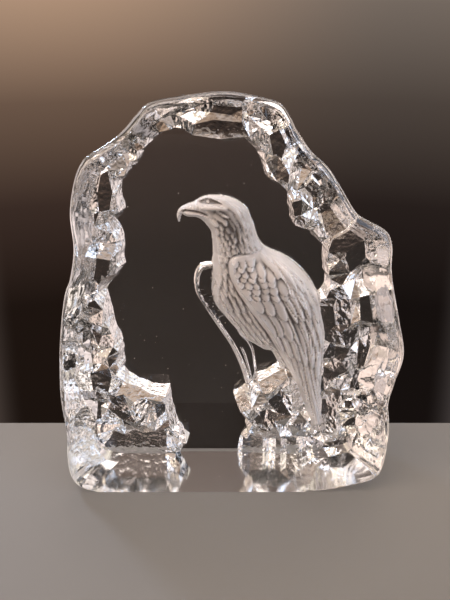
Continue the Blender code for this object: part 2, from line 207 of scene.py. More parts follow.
# The bird's own outline, from the brow over the back to the tail and up the breast to the beak.
BIRD_OUTLINE = [
    (-14.2, 114.3), (-12.7, 115.3), (-10.4, 116.4), (-6.9, 117.1), (-3.1, 116.8), (0.7, 115.7),
    (3.7, 113.9), (6.0, 111.8), (7.2, 108.6), (8.4, 105.3), (9.3, 102.1), (10.5, 99.2), (12.5, 96.7),
    (15.6, 95.0), (19.6, 93.3), (23.6, 90.8), (27.3, 87.4), (30.6, 83.5), (33.2, 79.1), (35.4, 74.7),
    (36.9, 70.3), (38.3, 65.3), (39.2, 59.9), (39.3, 54.3), (39.1, 49.6), (38.6, 43.5), (38.5, 37.2),
    (39.1, 28.9), (39.8, 20.4), (39.9, 17.4), (39.3, 15.4), (38.4, 17.6), (38.2, 14.6), (37.5, 12.4),
    (36.7, 13.4), (36.4, 15.6), (36.0, 12.4), (35.2, 10.8), (34.4, 12.6), (33.4, 17.2), (31.0, 23.2),
    (28.8, 28.7), (25.8, 34.8), (23.0, 41.0), (19.8, 45.2), (18.0, 48.6), (16.2, 51.4), (13.3, 51.9),
    (10.4, 53.8), (6.7, 56.1), (4.2, 58.0), (1.7, 61.2), (-0.8, 64.4), (-3.2, 67.5), (-5.6, 70.7),
    (-7.2, 73.8), (-7.8, 77.8), (-7.8, 84.3), (-7.5, 89.9), (-6.9, 94.1), (-7.1, 97.9), (-7.6, 102.5),
    (-9.0, 104.9), (-10.9, 107.2), (-13.2, 108.4), (-16.3, 108.6), (-17.8, 109.2), (-18.6, 109.8),
    (-19.1, 108.2), (-19.7, 106.2), (-20.3, 108.2), (-20.1, 110.4), (-19.1, 112.0), (-16.8, 113.4),
]

# The bird's cross-sections from end to end: the two edges (x, z) and (x, z) of each, and its
# depth beside the depth of the bird.
BODY = [
    (-18.8, 108.8, -19.6, 111.4, 0.22), (-16.4, 108.7, -17.0, 113.2, 0.30),
    (-14.0, 108.2, -14.4, 114.4, 0.36), (-12.4, 107.8, -12.0, 116.2, 0.46),
    (-10.6, 106.9, -8.6, 117.5, 0.56), (-8.9, 104.8, -3.0, 117.4, 0.62),
    (-7.6, 102.2, 3.0, 114.8, 0.64), (-7.0, 98.0, 7.2, 108.6, 0.64), (-7.0, 94.0, 9.3, 102.1, 0.67),
    (-7.4, 90.0, 12.5, 96.7, 0.72), (-7.8, 84.0, 19.6, 93.3, 0.80), (-7.8, 77.8, 27.3, 87.4, 0.90),
    (-6.4, 72.6, 33.2, 79.1, 0.96), (-3.2, 67.5, 36.9, 70.3, 1.0), (1.7, 61.2, 39.2, 60.0, 1.0),
    (6.7, 56.1, 39.3, 54.3, 0.98), (13.3, 51.9, 39.1, 49.6, 0.96), (20.0, 46.5, 38.6, 43.5, 0.93),
    (24.5, 41.0, 38.5, 37.2, 0.90), (29.5, 28.9, 39.0, 28.9, 0.84), (33.9, 17.4, 39.7, 20.4, 0.76),
    (36.2, 12.4, 38.4, 12.8, 0.62),
]
NEAR_WING = [
    (8.0, 95.4, 12.5, 96.7), (1.6, 94.8, 15.6, 95.0), (-0.9, 92.4, 19.6, 93.3),
    (-1.1, 89.0, 23.6, 90.8), (-0.6, 86.0, 27.3, 87.4), (0.6, 83.2, 30.6, 83.5),
    (2.4, 79.8, 33.2, 79.1), (5.2, 75.4, 35.4, 74.7), (8.0, 71.2, 36.9, 70.3), (11.2, 66.8, 38.3, 65.3),
    (14.6, 61.8, 39.2, 59.9), (17.6, 55.8, 39.3, 54.3), (20.4, 50.6, 39.1, 49.6),
    (22.8, 46.6, 38.6, 43.5), (25.9, 40.6, 38.5, 37.2), (30.2, 28.9, 39.0, 28.9),
    (34.4, 17.6, 39.6, 20.0), (36.6, 12.6, 38.0, 12.6),
]
FAR_WING = [
    (-8.4, 89.8, -6.0, 89.9), (-11.8, 89.0, -5.6, 88.4), (-13.9, 85.6, -5.6, 85.6),
    (-14.4, 81.7, -5.4, 80.6), (-14.0, 77.8, -4.8, 76.4), (-12.9, 74.3, -3.6, 72.0),
    (-10.4, 69.6, -1.0, 67.6), (-7.2, 64.2, 2.0, 62.6), (-4.0, 59.0, 4.6, 58.0),
    (-0.8, 53.8, 7.6, 54.6), (1.8, 48.4, 9.6, 50.0), (4.0, 42.8, 10.4, 44.0), (5.6, 37.6, 10.8, 40.0),
    (6.5, 34.4, 9.6, 36.0),
]

# Patches of painted shade, where the amount is above nought, and of painted highlight, where it is below: by
# how much, the middle, half the length and width, and the turn in degrees.
PAINTED_LIGHT_AND_SHADE = [
    (0.46, (0.2, 104.0), 10.5, 4.8, -76),
    (0.30, (-7.0, 112.4), 6.0, 1.8, -4),
    (0.20, (0.5, 77.0), 12.0, 2.6, -62),
    (0.14, (-17.0, 110.6), 3.6, 1.6, 15),
    (-0.24, (0.4, 88.0), 7.0, 1.5, -85),
    (-0.26, (9.8, 71.0), 15.0, 1.4, -53),
    (-0.20, (12.0, 94.0), 9.0, 2.0, -4),
    (0.20, (10.5, 84.5), 9.0, 5.5, -50),
    (0.12, (21.0, 66.0), 15.0, 5.0, -58),
    (0.10, (24.0, 42.0), 12.0, 4.0, -60),
    (-0.25, (-1.0, 115.8), 6.0, 1.8, -16),
    (-0.22, (27.0, 82.0), 12.0, 3.5, -52),
    (-0.15, (-5.5, 86.0), 10.0, 1.6, -84),
    (0.40, (-7.8, 115.1), 3.6, 0.8, -3),
]

# The grid that the bird is drawn on: its lower left and upper right corner.
BIRD_AREA = ((-23.0, 8.0), (42.5, 121.0))

# The bird's cutter stands out this far beyond where the bird meets the back face, and the frost
# runs out this far over the bird's outline.
SKIRT = 0.8
FROST_RIM = 0.25


def place(x, z):
    """A point of the drawing in metres, from the middle of the block and from its foot."""
    return x * WIDTH / DRAWN_WIDTH, z * HEIGHT / DRAWN_HEIGHT


def thickness_at(z, sizes):
    """How far the leaning back face lies behind the front face at this height."""
    return BASE_THICKNESS + (sizes.top_thickness - BASE_THICKNESS) * z / HEIGHT


def smooth_line(points, steps):
    """An open Catmull-Rom line through the points, with this many steps to each stretch."""
    ends = [points[0], *points, points[-1]]
    line = []
    for before, start, end, after in zip(ends, ends[1:], ends[2:], ends[3:]):
        for step in range(steps):
            t = step / steps
            line.append(tuple(
                0.5 * (2 * b + (c - a) * t + (2 * a - 5 * b + 4 * c - d) * t**2
                       + (3 * b - a - 3 * c + d) * t**3)
                for a, b, c, d in zip(before, start, end, after)
            ))
    return [*line, tuple(points[-1])]


def marks_along(line):
    """How far along an open line each of its points lies, from 0 to 1."""
    marks = [0.0]
    for start, end in zip(line, line[1:]):
        marks.append(marks[-1] + math.dist(start, end))
    return [mark / marks[-1] for mark in marks]


def point_along_marks(line, marks, share):
    """The point this share of the way along an open line whose points lie at these marks."""
    index = min(max(bisect.bisect_left(marks, share), 1), len(marks) - 1)
    low, high = marks[index - 1], marks[index]
    return Vector(line[index - 1]).lerp(Vector(line[index]), (share - low) / (high - low))


def point_inside(x, z, outline):
    """True where the point lies inside a closed outline."""
    within = False
    for (x0, z0), (x1, z1) in zip(outline, [*outline[1:], outline[0]]):
        if (z0 > z) != (z1 > z) and x < (x1 - x0) * (z - z0) / (z1 - z0) + x0:
            within = not within
    return within


def loft(name, rings, kinds):
    """A closed solid through rings of equally many points, capped at both ends, with its foot
    ground flat."""
    mesh_builder = bmesh.new()
    loops = [[mesh_builder.verts.new(point) for point in ring] for ring in rings]
    count = len(loops[0])
    mesh_builder.faces.new(loops[0])
    mesh_builder.faces.new(reversed(loops[-1]))
    for loop, following, kind in zip(loops, loops[1:], kinds[1:]):
        for i in range(count):
            j = (i + 1) % count
            face = mesh_builder.faces.new((loop[i], following[i], following[j], loop[j]))
            face.material_index = GROUND if j == 0 else kind
    bmesh.ops.recalc_face_normals(mesh_builder, faces=mesh_builder.faces)
    for face in mesh_builder.faces:
        if face.normal.z < -0.3 and face.calc_center_median().z < GROUND_HEIGHT:
            face.material_index = GROUND
    mesh = bpy.data.meshes.new(name)
    mesh_builder.to_mesh(mesh)
    mesh_builder.free()
    return bpy.data.objects.new(name, mesh)


# The block

def block_outline(sizes):
    """The outline in metres, made to the block's width and height, with its foot on Z = 0."""
    line = [(x, max(z, 0.0)) for x, z in smooth_line(OUTLINE, sizes.outline_steps)]
    left, right = min(x for x, _ in line), max(x for x, _ in line)
    top = max(z for _, z in line)
    middle = (left + right) / 2
    return [((x - middle) * WIDTH / (right - left), z * HEIGHT / top) for x, z in line]


def above_foot(z):
    """How far a height in metres has left the smooth foot of the wall behind, from 0 to 1."""
    low, high = WALL_FOOT
    return min(max(z / MM - low, 0) / (high - low), 1)


def block_body(sizes):
    """The plain block: polished front and edge, then a hewn wall that leans in to the back."""
    outline = block_outline(sizes)
    dice = random.Random(sizes.seed + 10)
    marks = marks_along(outline)
    around = sum(math.dist(start, end) for start, end in zip(outline, outline[1:])) / MM
    knots = [0.0]
    while knots[-1] < 1:
        knots.append(knots[-1] + dice.uniform(*WALL_FACET) / around)
    knots[-1] = 1.0

    rings, kinds = [], []
    for step in range(sizes.edge_steps + 1):
        angle = math.pi / 2 * step / sizes.edge_steps
        inset, depth = sizes.edge_radius * (1 - math.sin(angle)), sizes.edge_radius * (1 - math.cos(angle))
        across, up = 1 - inset / (WIDTH / 2), 1 - inset / HEIGHT
        rings.append([Vector((x * across, depth, z * up)) for x, z in outline])
        kinds.append(POLISHED)
    for depth, side, top, uneven in WALL:
        across, up = 1 - side * MM / (WIDTH / 2), 1 - top * MM / HEIGHT
        corners = []
        for knot in knots:
            flat = point_along_marks(outline, marks, knot)
            rough = uneven * above_foot(flat.y)
            dent = 1 - rough * sizes.wall_uneven * dice.uniform(-0.6, 1.0) / (WIDTH / 2)
            corners.append(Vector((flat.x * across * dent, flat.y * up * (1 - (1 - dent) * 0.7))))
        ring = []
        for (x, z), mark in zip(outline, marks):
            straight = point_along_marks(corners, knots, mark)
            hewn = min(uneven * 2, 1) * above_foot(z)
            flat = Vector((x * across, z * up)).lerp(straight, hewn)
            point = Vector((flat.x, 0, flat.y))
            point.y = thickness_at(point.z, sizes) if depth is None else depth * MM
            ring.append(point)
        ring[0].z = ring[-1].z = 0.0
        rings.append(ring)
        kinds.append(SKIN)
    return loft("carved_crystal", rings, kinds)


def window_edge(dice):
    """The window's edge, broken into short chips."""
    edge = [WINDOW_EDGE[0]]
    for start, end in zip(WINDOW_EDGE, WINDOW_EDGE[1:]):
        run = Vector(end) - Vector(start)
        pieces = max(round(run.length / CHIP_LENGTH), 1)
        aside = Vector((-run.y, run.x)).normalized()
        for piece in range(1, pieces):
            jog = aside * dice.uniform(-CHIP_JOG, CHIP_JOG)
            share = (piece + dice.uniform(-0.2, 0.2)) / pieces
            edge.append(tuple(Vector(start) + run * share + jog))
        edge.append(end)
    return edge


def cell_around(seed, seeds, reach):
    """The corners of the area that lies nearer to this seed than to any other one."""
    cell = [seed + Vector(corner) * reach for corner in ((-1, -1), (1, -1), (1, 1), (-1, 1))]
    for other in seeds:
        away = other - seed
        if other is seed or away.length > 2.9 * reach:
            continue
        middle = (seed + other) / 2
        kept = []
        for a, b in zip(cell, [*cell[1:], cell[0]]):
            side_a, side_b = (a - middle).dot(away), (b - middle).dot(away)
            if side_a <= 0:
                kept.append(a)
            if (side_a <= 0) != (side_b <= 0):
                kept.append(a.lerp(b, side_a / (side_a - side_b)))
        cell = kept
    return cell


class RockCorners:
    """The corners of the rocks' facets, in millimetres, and which pairs of them are joined."""

    def __init__(self):
        self.places = []
        self.joined = []
        self.index_at = {}

    def add(self, x, z, depth):
        """The number of a new corner, or of the corner that is there already."""
        key = (round(x, 1), round(z, 1))
        if key not in self.index_at:
            self.index_at[key] = len(self.places)
            self.places.append((x, z, depth))
        return self.index_at[key]

    def join(self, numbers, closed=False):
        """Joins corners in a row, and the last to the first where the row is closed."""
        ends = [*numbers[1:], numbers[0]] if closed else numbers[1:]
        self.joined += [(a, b) for a, b in zip(numbers, ends) if a != b]

    def is_free(self, x, z, gap, stretch=1.0):
        """True where no corner lies nearer than this, measured in pieces stretched along Z."""
        wide, tall = math.sqrt(stretch), 1 / math.sqrt(stretch)
        return all(math.hypot((x - a) * wide, (z - b) * tall) > gap for a, b, _ in self.places)


def rock_corners(sizes):
    """All the corners of the rocks, and the outline of the area that they fill."""
    dice = random.Random(sizes.seed)
    rock, uneven = sizes.rock_depth / MM, sizes.rock_uneven / MM
    wall = smooth_line(OUTLINE, 2)
    bird = [Vector(point) for point in BIRD_OUTLINE]
    edge = window_edge(dice)
    corners = RockCorners()
    corners.join([corners.add(x, z, -0.4) for x, z in edge])
    corners.join([corners.add(x, z, rock) for x, z in OUTSIDE])
    for points, share, tilt_x, tilt_z in FACES:
        middle = (sum(x for x, _ in points) / len(points), sum(z for _, z in points) / len(points))
        corners.join([
            corners.add(x, z, rock * share + tilt_x * (x - middle[0]) + tilt_z * (z - middle[1]))
            for x, z in points
        ], closed=True)
    left, right, top, shallow, deep = FLUTES
    x = left
    while x < right:
        depth, height = dice.uniform(shallow, deep), top + dice.uniform(-1.2, 1.2)
        corners.join([corners.add(x, -9, depth), corners.add(x, height, depth)])
        x += dice.uniform(2.2, 5.5)
    region = [*edge, *OUTSIDE]
    taken = [points for points, *_ in FACES]
    taken.append([(left - 1.5, -9), (right + 1, -9), (right + 1, top + 1.5), (left - 1.5, top + 1.5)])
    low_x, high_x, slab_top, least, most = SLAB
    slab_dice = random.Random(sizes.seed + 3)
    for _ in range(SLAB_TRIES):
        x, z = slab_dice.uniform(low_x, high_x), slab_dice.uniform(-8, slab_top)
        if corners.is_free(x, z, SLAB_GAP, SLAB_STRETCH):
            corners.add(x, z, slab_dice.uniform(least, most))
    taken.append([(low_x, -9), (high_x, -9), (high_x, slab_top + 1), (low_x, slab_top + 1)])

    def is_rock(x, z):
        """True where the rocks are still to be broken."""
        return point_inside(x, z, region) and not any(point_inside(x, z, points) for points in taken)

    def broken_at(x, z):
        """The row of BROKEN_SMALL that holds the point, without its box, or None."""
        rows = [row[4:] for row in BROKEN_SMALL if row[0] < x < row[1] and row[2] < z < row[3]]
        return rows[0] if rows else None

    def floor_at(x, z):
        """The rocks' plain depth, which grows less towards the wall, the bird and the foot."""
        from_wall = min((Vector((x, z)) - Vector(point)).length for point in wall)
        depth = rock - WALL_RISE * max(1 - max(from_wall - WALL_INSET, 0) / WALL_SLOPE, 0)
        from_bird = min((Vector((x, z)) - point).length for point in bird)
        depth *= BIRD_SHARE + (1 - BIRD_SHARE) * min(from_bird / BIRD_REACH, 1)
        return depth * (FOOT_SHARE + (1 - FOOT_SHARE) * min(max(z, 0) / FOOT_HEIGHT, 1))

    seeds = []
    for _ in range(TRIES):
        seed = Vector((dice.uniform(-70, 70), dice.uniform(-8, 164)))
        apart = all((seed - other).length > BOULDER * 0.85 for other in seeds)
        if is_rock(*seed) and not broken_at(*seed) and apart:
            seeds.append(seed)
    boulders = []
    for seed in seeds:
        cell = cell_around(seed, seeds, BOULDER)
        rim = [a.lerp(b, share / 4) for a, b in zip(cell, [*cell[1:], cell[0]]) for share in range(4)]
        fixed = [corners.places[i] for i in range(len(edge) + len(OUTSIDE))]
        if all(is_rock(*point) for point in rim) and not any(point_inside(x, z, cell) for x, z, _ in fixed):
            boulders.append((seed, cell))
    for seed, cell in boulders:
        around = []
        for corner in cell:
            around.append(corners.add(*corner, floor_at(*corner) - 0.6 + dice.uniform(-0.6, 0.6) * uneven))
        corners.join(around, closed=True)
        top = seed.lerp(dice.choice(cell), dice.uniform(0, 0.35))
        share = dice.uniform(0.40, 0.85)
        height = sum(corners.places[i][2] for i in around) / len(around) + dice.uniform(0.5, 2.2)
        tilt = Vector((dice.uniform(-0.4, 0.4), dice.uniform(-0.4, 0.4))) * dice.choice((0, 1, 1, 1))
        raised = []
        for corner in cell:
            point = top.lerp(corner, share)
            raised.append(corners.add(*point, height + (point - top).dot(tilt)))
        corners.join(raised, closed=True)
        for low, high in zip(around, raised):
            corners.join([low, high])
    taken += [cell for _, cell in boulders]

    for before, here, after in zip(edge, edge[1:], edge[2:]):
        run = Vector(after) - Vector(before)
        outward = Vector((-run.y, run.x)).normalized() * dice.uniform(*EDGE_SLOPES)
        x, z = here[0] + outward.x, here[1] + outward.y
        depth = max(floor_at(x, z), rock * 0.15) * dice.uniform(0.75, 1.1)
        if is_rock(x, z) and corners.is_free(x, z, 1.0):
            corners.add(x, z, depth)
    for _ in range(TRIES):
        x, z = dice.uniform(-70, 70), dice.uniform(-8, 164)
        gap, stretch, rough = broken_at(x, z) or (LOOSE, 1.0, 1.0)
        if is_rock(x, z) and corners.is_free(x, z, gap * 0.75, stretch):
            narrow = min(stretch, 1 / stretch) ** 0.5
            foot = min(max(z, 3) / FOOT_HEIGHT, 1)
            height = dice.uniform(-1.1, 0.8) * uneven * rough * narrow * foot * gap / LOOSE
            corners.add(x, z, floor_at(x, z) + height)
    return corners, region


def rock_cutter(sizes):
    """One closed cutter for all the rocks: flat facets between their corners."""
    corners, region = rock_corners(sizes)
    flat = [Vector((x, z)) for x, z, _ in corners.places]
    points, _, triangles, sources, _, _ = delaunay_2d_cdt(flat, corners.joined, [], 0, 1e-3)
    floor, mouth = [], []
    for point, source in zip(points, sources):
        depth = corners.places[source[0]][2] if source else sizes.rock_depth / MM
        x, z = place(point.x, point.y)
        back = thickness_at(z, sizes)
        floor.append(Vector((x, back - depth * MM, z)))
        mouth.append(Vector((x, back + sizes.cutter_margin, z)))
    kept = []
    for triangle in triangles:
        centre = sum((points[i] for i in triangle), Vector((0, 0))) / 3
        if point_inside(centre.x, centre.y, region):
            kept.append(tuple(triangle))
    return closed_cutter("rocks", floor, mouth, kept, [ROCK] * len(kept), ROCK)


def closed_cutter(name, floor, mouth, faces, kinds, rest):
    """A closed mesh of a carved side, the same faces at its mouth, and the walls between. The
    carved faces are of these kinds, and the rest of one kind."""
    count = len(floor)
    borders = {}
    for face in faces:
        for a, b in zip(face, (*face[1:], face[0])):
            if (b, a) in borders:
                del borders[b, a]
            else:
                borders[a, b] = True
    walls = [(b, a, a + count, b + count) for a, b in borders]
    everything = [*faces, *(tuple(i + count for i in reversed(face)) for face in faces), *walls]
    mesh = bpy.data.meshes.new(name)
    mesh.from_pydata([*floor, *mouth], [], everything)
    indices = [*kinds, *([rest] * (len(everything) - len(kinds)))]
    mesh.polygons.foreach_set("material_index", indices)
    mesh.update()
    builder = bmesh.new()
    builder.from_mesh(mesh)
    loose = [vertex for vertex in builder.verts if not vertex.link_faces]
    bmesh.ops.delete(builder, geom=loose, context="VERTS")
    bmesh.ops.recalc_face_normals(builder, faces=builder.faces)
    builder.to_mesh(mesh)
    builder.free()
    return bpy.data.objects.new(name, mesh)


# The bird's relief, on an even grid over the drawing

class Relief:
    """How deep the bird is sunk below the back face, in millimetres, at each point of a grid."""

    def __init__(self, low, high, step):
        self.step = step
        self.x = np.arange(low[0], high[0] + step, step)
        self.z = np.arange(low[1], high[1] + step, step)
        self.across, self.up = np.meshgrid(self.x, self.z)

    def window(self, points, reach):
        """The part of the grid within reach of some points, as two slices."""
        points = np.asarray(points)
        low, high = points.min(axis=0) - reach, points.max(axis=0) + reach
        columns = np.searchsorted(self.x, (low[0], high[0]))
        rows = np.searchsorted(self.z, (low[1], high[1]))
        return slice(*rows), slice(*columns)


def to_line(across, up, line):
    """For each point the distance to a line, the share of the way along it and the side."""
    line = np.asarray(line, dtype=float)
    best = np.full(across.shape, np.inf)
    along = np.zeros(across.shape)
    side = np.ones(across.shape)
    marks = np.asarray(marks_along([tuple(p) for p in line]))
    for start, end, low, high in zip(line, line[1:], marks, marks[1:]):
        run = end - start
        length = float(run @ run)
        if length < 1e-9:
            continue
        share = ((across - start[0]) * run[0] + (up - start[1]) * run[1]) / length
        share = share.clip(0, 1)
        off_x, off_z = across - start[0] - share * run[0], up - start[1] - share * run[1]
        distance = np.hypot(off_x, off_z)
        nearer = distance < best
        best = np.where(nearer, distance, best)
        along = np.where(nearer, low + share * (high - low), along)
        side = np.where(nearer, np.sign(off_x * run[1] - off_z * run[0]), side)
    return best, along, side


def inside(across, up, outline):
    """True for the points that lie inside a closed outline."""
    within = np.zeros(across.shape, dtype=bool)
    for (x0, z0), (x1, z1) in zip(outline, [*outline[1:], outline[0]]):
        if z0 == z1:
            continue
        crosses = (z0 > up) != (z1 > up)
        within ^= crosses & (across < (x1 - x0) * (up - z0) / (z1 - z0) + x0)
    return within


def signed_distance(relief, outline):
    """The distance to a closed outline, above nought inside it."""
    distance, _, _ = to_line(relief.across, relief.up, [*outline, outline[0]])
    return np.where(inside(relief.across, relief.up, outline), distance, -distance)


def rounded(share, fullness=2.2):
    """A rounded shoulder that rises from 0 at 0 to 1 at 1."""
    return (1 - (1 - share.clip(0, 1)) ** fullness) ** (1 / fullness)


def softened(field, passes):
    """The field blurred a little, pass by pass, with its edges kept."""
    for _ in range(passes):
        padded = np.pad(field, 1, mode="edge")
        field = (
            4 * field + padded[:-2, 1:-1] + padded[2:, 1:-1] + padded[1:-1, :-2] + padded[1:-1, 2:]
        ) / 8
    return field


def across_stations(stations, along, aside):
    """The point at these shares along and across a row of stations."""
    place_at = along * (len(stations) - 1)
    low = min(int(place_at), len(stations) - 2)
    part = place_at - low
    first, second = stations[low], stations[low + 1]
    left = [first[i] + (second[i] - first[i]) * part for i in (0, 1)]
    right = [first[i] + (second[i] - first[i]) * part for i in (2, 3)]
    return [left[i] + (right[i] - left[i]) * aside for i in (0, 1)]


def station_width(stations, along):
    """The distance between the two edges at this share along the stations."""
    return math.dist(across_stations(stations, along, 0), across_stations(stations, along, 1))


def feather(relief, detail, spine, half_width, root, lift, tip=0.3, pointed=2.0):
    """Lays one domed feather over the detail: it rises from its root to its tip along the spine."""
    rows, columns = relief.window(spine, half_width + 0.5)
    across, up = relief.across[rows, columns], relief.up[rows, columns]
    distance, along, _ = to_line(across, up, spine)
    past = ((along - (1 - tip)) / tip).clip(0, 1)
    limit = half_width * (1 - past**pointed) ** (1 / pointed) * (0.8 + 0.2 * (along / 0.3).clip(0, 1))
    within = (distance < limit) & (along > 0) & (along < 1)
    share = (distance / np.maximum(limit, 1e-6)).clip(0, 1)
    dome = 0.25 + 0.75 * np.sqrt(1 - share**2)
    height = (root + (lift - root) * along) * dome
    patch = detail[rows, columns]
    detail[rows, columns] = np.where(within, height, patch)


def feather_row(relief, detail, stations, along, length, width, spread, lift, dice, tip=0.35,
                pointed=2.0, shift=None):
    """A row of feathers side by side across the stations, from spread[0] to spread[1]."""
    reach = station_width(stations, min(along + length * 0.6, 1.0)) * (spread[1] - spread[0])
    count = max(int(round(reach / width)), 1)
    if shift is None:
        shift = dice.uniform(-0.5, 0.5)
    order = list(range(-1, count + 1))
    dice.shuffle(order)
    for number in order:
        share = (number + 0.5 + shift + dice.uniform(-0.14, 0.14)) / count
        aside = spread[0] + (spread[1] - spread[0]) * share
        if not spread[0] - 0.02 < aside < spread[1] + 0.02:
            continue
        end = min(along + length * dice.uniform(0.92, 1.12), 1.0)
        spine = [across_stations(stations, along + (end - along) * k / 7, aside) for k in range(8)]
        high = lift * dice.uniform(0.85, 1.15)
        feather(relief, detail, spine, width * 0.56, high * 0.1, high, tip, pointed)


def bird_relief(sizes):
    """The near side of the bird: its grid, its depth and where it is frosted."""
    relief = Relief(*BIRD_AREA, sizes.grid_step / MM)
    bird_depth = sizes.bird_depth / MM
    outline = smooth_line([*BIRD_OUTLINE, BIRD_OUTLINE[0]], 3)[:-1]
    depth_in = signed_distance(relief, outline)

    middle = [((a + c) / 2, (b + d) / 2) for a, b, c, d, _ in BODY]
    _, along, _ = to_line(relief.across, relief.up, middle)
    marks = marks_along(middle)
    half = [math.dist((a, b), (c, d)) / 2 for a, b, c, d, _ in BODY]
    local_half = softened(np.interp(along, marks, half), 40)
    local_depth = softened(np.interp(along, marks, [row[4] for row in BODY]), 40)
    body = bird_depth * local_depth * rounded(depth_in / local_half, 2.5)

    # The near wing stands proud of the body along its leading edge.
    lead = smooth_line([(a, b) for a, b, _, _ in NEAR_WING], 3)
    back = smooth_line([(c, d) for _, _, c, d in NEAR_WING], 3)
    on_wing = inside(relief.across, relief.up, [*lead, *reversed(back)])
    from_lead, _, _ = to_line(relief.across, relief.up, lead)
    grown = ((np.hypot(relief.across - 13, relief.up - 98) - 4) / 10).clip(0, 1)
    step = 2.4 * rounded(from_lead / 2.0, 2.2) + 0.7 * np.exp(-(((from_lead - 1.4) / 1.0) ** 2))
    fade = (depth_in / 3.0).clip(0, 1)
    wing = np.where(on_wing, step * grown * fade, 0.0)

    detail = np.zeros(relief.across.shape)
    plumage(relief, detail, on_wing, from_lead, sizes)
    keep = (depth_in / 1.2).clip(0, 1)
    depth = body + wing + 1.5 * softened(detail, 1) * keep
    depth = depth + head_detail(relief) * (depth_in / 0.8).clip(0, 1)
    depth = np.where(depth_in > 0, depth, depth_in * 1.4)
    return relief, depth, depth_in > -FROST_RIM


def plumage(relief, detail, on_wing, from_lead, sizes):
    """All the feathers, laid from the tail towards the head, as they overlap on a bird."""
    dice = random.Random(sizes.seed)
    body = np.zeros(detail.shape)
    # Belly and breast: pointed feathers in uneven rows.
    for number in range(17):
        along = 0.76 - 0.0205 * number
        feather_row(relief, body, BODY, along, 0.066, 2.5, (0.02, 0.9), 1.4, dice, 0.65, 1.5)
    # Neck: small scales in the middle, longer streaks at the nape.
    for number in range(10):
        along = 0.42 - 0.0205 * number
        feather_row(relief, body, BODY, along, 0.050, 2.3, (0.16, 0.62), 1.15, dice, 0.55, 2.0)
        feather_row(relief, body, BODY, along - 0.01, 0.095, 1.9, (0.60, 1.0), 0.9, dice, 0.5, 1.6)
    detail[:] = np.where(on_wing, detail, body)

    wing = np.zeros(detail.shape)
    # Long flight feathers that run together at the tail.
    for number, aside in enumerate((0.97, 0.06, 0.86, 0.18, 0.75, 0.30, 0.64, 0.41, 0.53)):
        start, end = 0.50, 0.995 - 0.02 * (number % 3)
        spine = [across_stations(NEAR_WING, start + (end - start) * k / 17, aside) for k in range(18)]
        feather(relief, wing, spine, 1.35, 0.9, 2.1, 0.10, 1.6)
    # The next flight feathers, which end part of the way down.
    for aside in (0.93, 0.14, 0.80, 0.27, 0.67, 0.40, 0.53):
        start = 0.34
        end = 0.64 + 0.18 * aside + dice.uniform(-0.02, 0.02)
        spine = [across_stations(NEAR_WING, start + (end - start) * k / 11, aside) for k in range(12)]
        feather(relief, wing, spine, 1.8, 0.5, 2.0, 0.20, 1.8)
    # Greater coverts: long ovals.
    for start, end, lift, sides in (
        (0.20, 0.58, 1.8, (0.79, 0.65)), (0.30, 0.58, 1.8, (0.51, 0.37, 0.24, 0.12)),
        (0.24, 0.46, 1.7, (0.58, 0.44, 0.30, 0.17)),
    ):
        for aside in sides:
            low = end + 0.07 * aside + dice.uniform(-0.012, 0.012)
            spine = [across_stations(NEAR_WING, start + (low - start) * k / 9, aside) for k in range(10)]
            feather(relief, wing, spine, 2.3, 0.1, lift, 0.24, 2.2)
    # Long soft streaks over the shoulder and down the back.
    for number in range(9):
        along = 0.42 - 0.045 * number
        reach = (0.55 + 0.015 * number, 1.0)
        feather_row(relief, wing, NEAR_WING, along, 0.24, 2.8, reach, 1.9, dice, 0.5, 1.6)
    # Rows of small coverts, like scales, that grow from the shoulder to the long feathers.
    for number in range(7):
        along = 0.300 - 0.037 * number
        reach = (0.05, 0.64 - 0.03 * number)
        width = 3.7 - 0.12 * number
        feather_row(
            relief, wing, NEAR_WING, along, 0.088, width, reach, 1.35, dice, 0.55, 2.2,
            0.5 * (number % 2))
    # The leading edge stays a smooth roll.
    smooth_edge = ((from_lead - 1.5) / 0.8).clip(0, 1)
    detail[:] = np.where(on_wing, wing * smooth_edge, detail)


def bump_at(relief, centre, width, height, turn=0.0):
    """A soft round swelling, width and height being its half sizes."""
    angle = math.radians(turn)
    dx, dz = relief.across - centre[0], relief.up - centre[1]
    along = dx * math.cos(angle) + dz * math.sin(angle)
    aside = -dx * math.sin(angle) + dz * math.cos(angle)
    return np.exp(-((along / width) ** 2) - (aside / height) ** 2)


def ridge_along(relief, line, width):
    """A soft ridge along a line."""
    distance, along, _ = to_line(relief.across, relief.up, smooth_line(line, 5))
    ends = np.minimum(along / 0.12, (1 - along) / 0.12).clip(0, 1)
    return np.exp(-((distance / width) ** 2)) * ends


